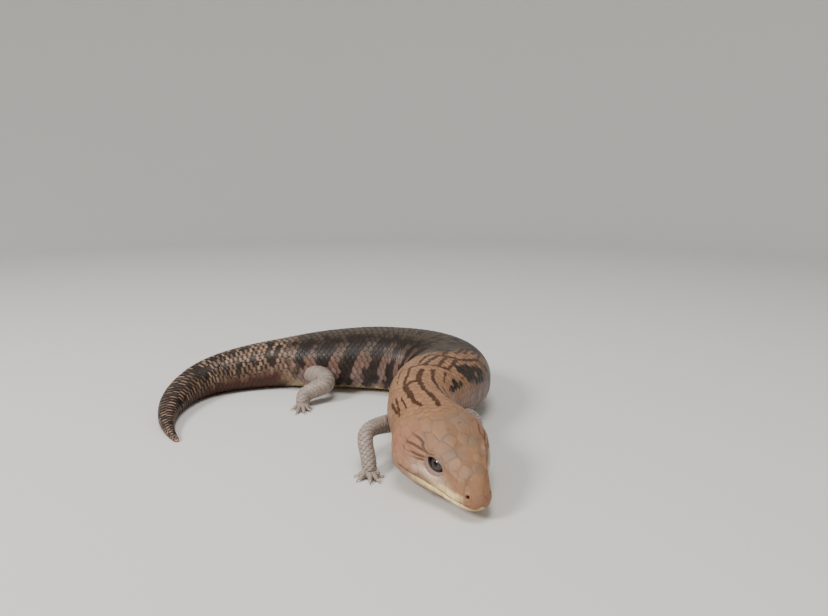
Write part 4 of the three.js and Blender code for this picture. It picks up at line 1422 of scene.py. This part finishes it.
def lay_map(piece, corners, roots, form):
    """A map named OFBake: each plate is a small patch at its root's place on the opened-out hide."""
    layer = piece.data.uv_layers.new(name="OFBake")
    patch = form[corners, :2] * BAKE_PATCH
    places = roots[:, None, :] + patch[None, :, :]
    layer.data.foreach_set("uv", places.astype(np.float32).ravel())


# How deep a scale's front is sunk, how far its rear rises, how its rim drops and how thick it is, in
# millimetres. The scales lie flatter towards the tail's tip.
SUNK = 0.45
RISE = 0.52
EDGE_DROP = 0.13
PLATE_THICK = 0.45
TIP_SLIM = (470, 505)

# The tail's light flecks are boxes at its root and short bars towards its tip. A share of the scales
# has none, which is larger in the dark bands.
BARS_FOR_BOXES = (370, 430)
NO_FLECK = 0.1
NO_FLECK_IN_BAND = 0.42

# Every scale has four chances of its own, for its size, place, rise and colours.
PLATE, PLATE_FACES = plate_form(PLATE_ACROSS, PLATE_ALONG)
roots = scale_rows()
LUCK = np.random.default_rng(11).uniform(0, 1, (len(roots), 4))


def body_plates(name, low, high, finish):
    """The scales whose roots lie between two distances from the snout."""
    chosen = (roots[:, 0] >= low) & (roots[:, 0] < high)
    root = roots[chosen]
    s0, turn0, wide, step = (root[:, k:k + 1] for k in range(4))
    first, second, third, fourth = (LUCK[chosen, k:k + 1] for k in range(4))
    x, y, lift, on_top, rim = (PLATE[None, :, k] for k in range(5))
    size = 1 + 0.05 * (first - 0.5)
    s = s0 + step * (y * size + 0.05 * (second - 0.5))
    turn = turn0 + PLATE_WIDE * wide * x * size
    slim = smooth_step(s0, *TIP_SLIM)
    rise = RISE * (1 - 0.35 * slim) * (1 + 0.25 * (third - 0.5))
    high_now = -SUNK * (1 - 0.3 * slim) + rise * lift - 0.05 * x**2 * wide * girth(s0) / 5
    over = np.where(on_top > 0, high_now - EDGE_DROP * rim**2, high_now - PLATE_THICK)
    s = np.minimum(s, LENGTH - 0.3)
    points = body_point(s, turn, over)
    piece, corners = scale_mesh(name, points, PLATE_FACES, len(root))
    own = hide_colours(s, turn % 1)
    whole = hide_colours(np.repeat(s0, x.shape[1], 1), np.repeat(turn0, x.shape[1], 1) % 1)
    values = {key: 0.35 * own[key] + 0.65 * whole[key] for key in own}
    values["lines"] = np.clip(own["lines"] + 0.25 * whole["lines"], 0, 1)
    values["dark"] = np.clip(values["dark"] * (0.8 + 0.4 * fourth), 0, 1)
    bar = smooth_step(lift, 0.36, 0.5) * (1 - smooth_step(lift, 0.7, 0.86))
    bar = bar * (1 - smooth_step(np.abs(x + 0.4 * fourth - 0.2), 0.5, 0.95))
    box = smooth_step(lift, 0.34, 0.5) * (1 - smooth_step(lift, 0.88, 1))
    box = box * (1 - smooth_step(np.abs(x), 0.68, 0.95))
    notch = hump(x - 0.6 * (fourth > 0.5) + 0.3, 0.2)
    box = box * (1 - 0.7 * (second > 0.45) * notch)
    fleck = np.where(third < smooth_step(s0, *BARS_FOR_BOXES), bar, box)
    light = (1 - whole["band"]) * (first > NO_FLECK) + whole["band"] * (first > NO_FLECK_IN_BAND)
    light = light * (0.5 + 0.5 * smooth_step(second, 0.2, 0.8))
    under = whole["belly"]
    values["band"] = values["tail"] * (1 - light * fleck * (1 - under) - under)
    values["rim"] = rim + 0 * s0
    values["luck"] = fourth + 0 * x
    paint_points(piece, values)
    place = np.concatenate([0.02 + 0.96 * s0 / LENGTH, 0.02 + 0.96 * (turn0 % 1)], 1)
    lay_map(piece, corners, place, PLATE)
    piece.data.materials.append(finish)
    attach(piece, "root")
    return piece


# Each piece of scales begins and ends at these distances from the snout.
SCALE_PIECES = [
    ("neck_scales", 0, 112, "body_skin"),
    ("shoulder_scales", 112, 175, "body_skin"),
    ("trunk_scales", 175, 256, "body_skin"),
    ("hip_scales", 256, 338, "body_skin"),
    ("tail_scales", 338, LENGTH, "tail_skin"),
]
for name, low, high, slot in SCALE_PIECES:
    finish = hide_finish(name.replace("_", " "), roughness=0.42, bump=0.25)
    scales = body_plates(name, low, high, finish)


# The legs and toes are clad in small scales of the same make, set in rings down the limb. The rows
# on a toe run on to its claw.
SMALL_ACROSS = np.array([-1, -0.8, -0.4, 0, 0.4, 0.8, 1])
SMALL_ALONG = np.array([0, 0.5, 0.85, 1])
SMALL_PLATE, SMALL_FACES = plate_form(SMALL_ACROSS, SMALL_ALONG)
SMALL_THICK = 0.3

# How the scales lie on a leg and on a toe: rows round it, step along it, bare length at both ends, and
# how deep their fronts are sunk and how far their rears rise.
LEG_LAY = dict(rows=13, step=2.7, start=3, stop=1, sunk=LEG_COAT, rise=0.42)
TOE_LAY = dict(rows=6, step=1.35, start=2.6, stop=0.2, sunk=0.2, rise=0.3)

# The foot's rings of scales: how high each stands on the pad, and its count.
PAD_LAY = [(0.25, 20), (0.62, 15), (0.86, 10), (0.97, 5)]


def tube_plates(path, thick, draw, rows, step, start, stop, sunk, rise):
    """Scales round a limb: their points, each root's place along and round it, and their masks."""
    u = np.linspace(0, 1, 400)
    line = path_through(path, u)
    far = np.concatenate([[0], np.cumsum(np.linalg.norm(np.diff(line, axis=0), axis=1))])
    roots = [(at, (row + 0.5) / rows) for row in range(rows)
             for at in np.arange(start + 0.5 * step * (row % 2), far[-1] - stop, step)]
    root = np.array(roots)
    chance = draw.uniform(0, 1, (len(root), 3))
    x, y, lift, on_top, rim = (SMALL_PLATE[None, :, k] for k in range(5))
    along = root[:, :1] + step * y * (1 + 0.08 * (chance[:, :1] - 0.5))
    where = np.interp(along, far, u)
    angle = 2 * math.pi * (root[:, 1:] + PLATE_WIDE * x / rows)
    height = -sunk + rise * lift * (0.9 + 0.2 * chance[:, 1:2]) - 0.12 * x**2 - 0.06 * rim**2
    height = np.where(on_top > 0, height, height - SMALL_THICK)
    shape = where.shape
    points = tube_point(path, thick, where.ravel(), angle.ravel(), height.ravel()).reshape(*shape, 3)
    return points, root, np.broadcast_to(rim, shape), np.broadcast_to(chance[:, 2:], shape), far[-1]


def inside_body(point):
    """Whether a point lies under the surface of the head, trunk or tail."""
    number = body_tree.find(point)[1]
    found = surface_grid[number]
    core = spine_at(grid_s[number:number + 1])[0][0]
    return np.linalg.norm(np.array(point) - core) < np.linalg.norm(found - core) + 0.6


body_tree = search_tree(surface_grid)


def pad_plates(leg, draw):
    """Small round scales over the top and edge of a foot."""
    roots = []
    for ring, (rise, count) in enumerate(PAD_LAY):
        roots += [(rise, (k + 0.5 * (ring % 2)) / count, count) for k in range(count)]
    root = np.array(roots)
    chance = draw.uniform(0, 1, (len(root), 3))
    x, y, lift, on_top, rim = (SMALL_PLATE[None, :, k] for k in range(5))
    azimuth = 2 * math.pi * (root[:, 1:2] + 0.6 * x / root[:, 2:])
    tilt = np.arcsin(root[:, :1]) - 0.2 * y
    height = -0.25 + 0.35 * lift - 0.08 * x**2 - 0.05 * rim**2
    height = np.where(on_top > 0, height, height - SMALL_THICK)
    points = palm_point(leg, azimuth, np.sin(np.clip(tilt, -1.3, 1.5)), height)
    shape = azimuth.shape
    return points, root, np.broadcast_to(rim, shape), np.broadcast_to(chance[:, 2:], shape)


limb_finish = hide_finish("limb scales", roughness=0.4, bump=0.2)
for number, (name, leg) in enumerate(LEGS.items()):
    draw = np.random.default_rng(40 + number)
    batches = []
    thick = curve(leg["kind"]["thick"])
    points, root, rim, luck, long = tube_plates(leg_path(leg), thick, draw, **LEG_LAY)
    keep = np.array([not inside_body(plate.mean(0)) for plate in points])
    batches.append((points[keep], 0.05 + 0.5 * root[keep] / [long, 1], rim[keep], luck[keep]))
    points, root, rim, luck = pad_plates(leg, draw)
    batches.append((points, 0.62 + 0.3 * root[:, :2], rim, luck))
    for k, (degrees, length) in enumerate(leg["toes"]):
        line = toe_path(leg, degrees, length)
        points, root, rim, luck, long = tube_plates(line, toe_thick(leg), draw, **TOE_LAY)
        corner = np.array([0.05 + 0.18 * k, 0.62])
        batches.append((points, corner + root / [long, 1] * [0.15, 0.33], rim, luck))
    points, places, rim, luck = (np.concatenate(part) for part in zip(*batches))
    scales, corners = scale_mesh(name + "_scales", points, SMALL_FACES, len(points))
    none = np.zeros(rim.shape)
    limb = {key: none for key in values}
    limb.update(limb=none + 1, rim=rim, luck=luck)
    paint_points(scales, limb)
    lay_map(scales, corners, places, SMALL_PLATE)
    scales.data.materials.append(limb_finish)
    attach(scales, "root")


# A short curved claw of pale horn grows from the end of each toe and rests on the floor. It is round,
# rooted in the toe's flesh, and darker towards its point.
CLAW_THICK = 0.8
CLAW_THINS = 0.86
CLAW_ROOT = 0.8
CLAW_SIDES = 12
CLAW_RINGS = 10
claw_finish, horn, claw_shader = new_finish("claw horn")
horn_color = mix_colours(horn, measured(horn, "point"), linear("b5a08c"), linear("4a3a32"))
horn.links.new(horn_color, claw_shader.inputs["Base Color"])
claw_shader.inputs["Roughness"].default_value = 0.3


def claw_thick(u):
    """A claw's half thickness along it."""
    return CLAW_THICK * (1 - CLAW_THINS * u**1.3)


for name, leg in LEGS.items():
    _, end = leg["kind"]["toe"]
    rings, faces, tips = [], [], []
    for degrees, length in leg["toes"]:
        path = along_toe(leg, degrees, [
            (length - CLAW - CLAW_ROOT, end + 0.15), (length - 1.3, end + 0.35), (length - 0.1, 0.25)])
        start = CLAW_SIDES * len(rings)
        for u in np.linspace(0, 1, CLAW_RINGS):
            row = np.full(CLAW_SIDES, u)
            rings.append(tube_point(path, claw_thick, row, circle(CLAW_SIDES)))
            tips.append(row)
        numbers = np.arange(start, start + CLAW_SIDES * CLAW_RINGS).reshape(CLAW_RINGS, -1).tolist()
        for near, far in zip(numbers[:-1], numbers[1:]):
            faces += ring_faces(near, far)
        faces += [numbers[0], numbers[-1][::-1]]
    claws = make_mesh(name + "_claws", np.concatenate(rings), faces)
    face_outwards(claws)
    claws.data.shade_smooth()
    paint_points(claws, {"point": smooth_step(np.concatenate(tips), 0.35, 1)})
    claws.data.materials.append(claw_finish)
    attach(claws, "root")


# The eyeballs are wet and dark: a round black pupil in a grey brown iris, under a clear glossy front.
# Each is a whole ball that sits free in its socket behind the lids.
PUPIL = 1.6
PUPIL_EDGE = 0.12
IRIS = 4.0
EYE_SIDES = 48
FRONT_RINGS = 24
REAR_RINGS = 12
FRONT_TO = 0.9
eye_finish, wet, ball_shader = new_finish("eye")
streaks = noise(wet, add_node(wet, "ShaderNodeTexCoord").outputs["Object"], 1500.0, 3.0)
iris_color = mix_colours(wet, streaks, linear("463936"), linear("2a2120"))
iris_color = mix_colours(wet, measured(wet, "ring"), iris_color, linear("6e5c53"))
iris_color = mix_colours(wet, measured(wet, "outer"), iris_color, linear("453936"))
iris_color = mix_colours(wet, measured(wet, "pupil"), iris_color, linear("070506"))
wet.links.new(iris_color, ball_shader.inputs["Base Color"])
ball_shader.inputs["Roughness"].default_value = 0.4
ball_shader.inputs["Specular IOR Level"].default_value = 0.0
ball_shader.inputs["Coat Weight"].default_value = 1.0
ball_shader.inputs["Coat Roughness"].default_value = 0.04

for side, name in ((-1, "eye_right"), (1, "eye_left")):
    middle, slit_way, brow, look = eyes[side]
    polar = np.concatenate([np.linspace(0, FRONT_TO, FRONT_RINGS + 1)[1:],
                            np.linspace(FRONT_TO, math.pi, REAR_RINGS + 2)[1:-1]])
    p, a = np.meshgrid(polar, circle(EYE_SIDES), indexing="ij")
    offset = (look * np.cos(p)[..., None] + slit_way * (np.sin(p) * np.cos(a))[..., None]
              + brow * (np.sin(p) * np.sin(a))[..., None])
    rings = middle + EYE["radius"] * offset
    ball = skin_over(name + "_ball", [
        (middle + EYE["radius"] * look)[None], *rings, (middle - EYE["radius"] * look)[None]])
    ball.data.shade_smooth()
    off_axis = EYE["radius"] * np.concatenate([[0], np.repeat(polar, EYE_SIDES), [math.pi]])
    paint_points(ball, {
        "pupil": 1 - smooth_step(off_axis, PUPIL - PUPIL_EDGE, PUPIL + PUPIL_EDGE),
        "ring": 0.35 * hump(off_axis - PUPIL - 0.35, 0.25),
        "outer": smooth_step(off_axis, 0.6 * IRIS, IRIS)})
    ball.data.materials.append(eye_finish)
    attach(ball, "root")
    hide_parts(name)


# The model lies on a wide pale sheet that curves up far away all round it. Two soft round lights and
# pale surroundings light it.
SHEET_FLAT = 1250
SHEET_BEND = 750
SHEET_TOP = 1500
SHEET_SIDES = 96
SHEET_COLOR = (0.66, 0.645, 0.62, 1)

bend = [(SHEET_FLAT + SHEET_BEND * math.sin(a), SHEET_BEND * (1 - math.cos(a)))
        for a in np.linspace(0, math.pi / 2, 25)]
profile = [(0.3 * SHEET_FLAT, 0)] + bend + [(SHEET_FLAT + SHEET_BEND, SHEET_TOP)]
azimuth = circle(SHEET_SIDES)
sheet_rings = [np.stack([r * np.cos(azimuth), r * np.sin(azimuth), 0 * azimuth + z], 1) for r, z in profile]
sheet_faces = [tuple(range(SHEET_SIDES))]
for i in range(len(profile) - 1):
    inner = [i * SHEET_SIDES + k for k in range(SHEET_SIDES)]
    sheet_faces += ring_faces([number + SHEET_SIDES for number in inner], inner)
floor = make_mesh("floor", np.concatenate(sheet_rings), sheet_faces)
floor.data.shade_smooth()
floor_finish, _, floor_shader = new_finish("floor")
floor_shader.inputs["Base Color"].default_value = SHEET_COLOR
floor_shader.inputs["Roughness"].default_value = 0.9
floor.data.materials.append(floor_finish)

world = bpy.data.worlds.new("soft surroundings")
bpy.context.scene.world = world
world.use_nodes = True
world.node_tree.nodes["Background"].inputs["Color"].default_value = (0.96, 0.98, 1.0, 1)
world.node_tree.nodes["Background"].inputs["Strength"].default_value = 0.5


def softbox(name, place, aim, size, watts, color):
    """A round soft light at a place, turned towards its aim."""
    light = bpy.data.lights.new(name, "AREA")
    light.shape = "DISK"
    light.size = size
    light.energy = watts
    light.color = color
    lamp = bpy.data.objects.new(name, light)
    lamp.location = place
    lamp.rotation_euler = (Vector(aim) - Vector(place)).to_track_quat("-Z", "Y").to_euler()
    bpy.context.scene.collection.objects.link(lamp)


softbox("front light", place=(-0.95, -0.7, 0.95), aim=(0.05, -0.02, 0.02),
        size=0.45, watts=20, color=(1, 0.98, 0.95))
softbox("overhead light", place=(0.05, -0.35, 1.25), aim=(0, 0, 0),
        size=0.6, watts=10, color=(1, 0.975, 0.93))
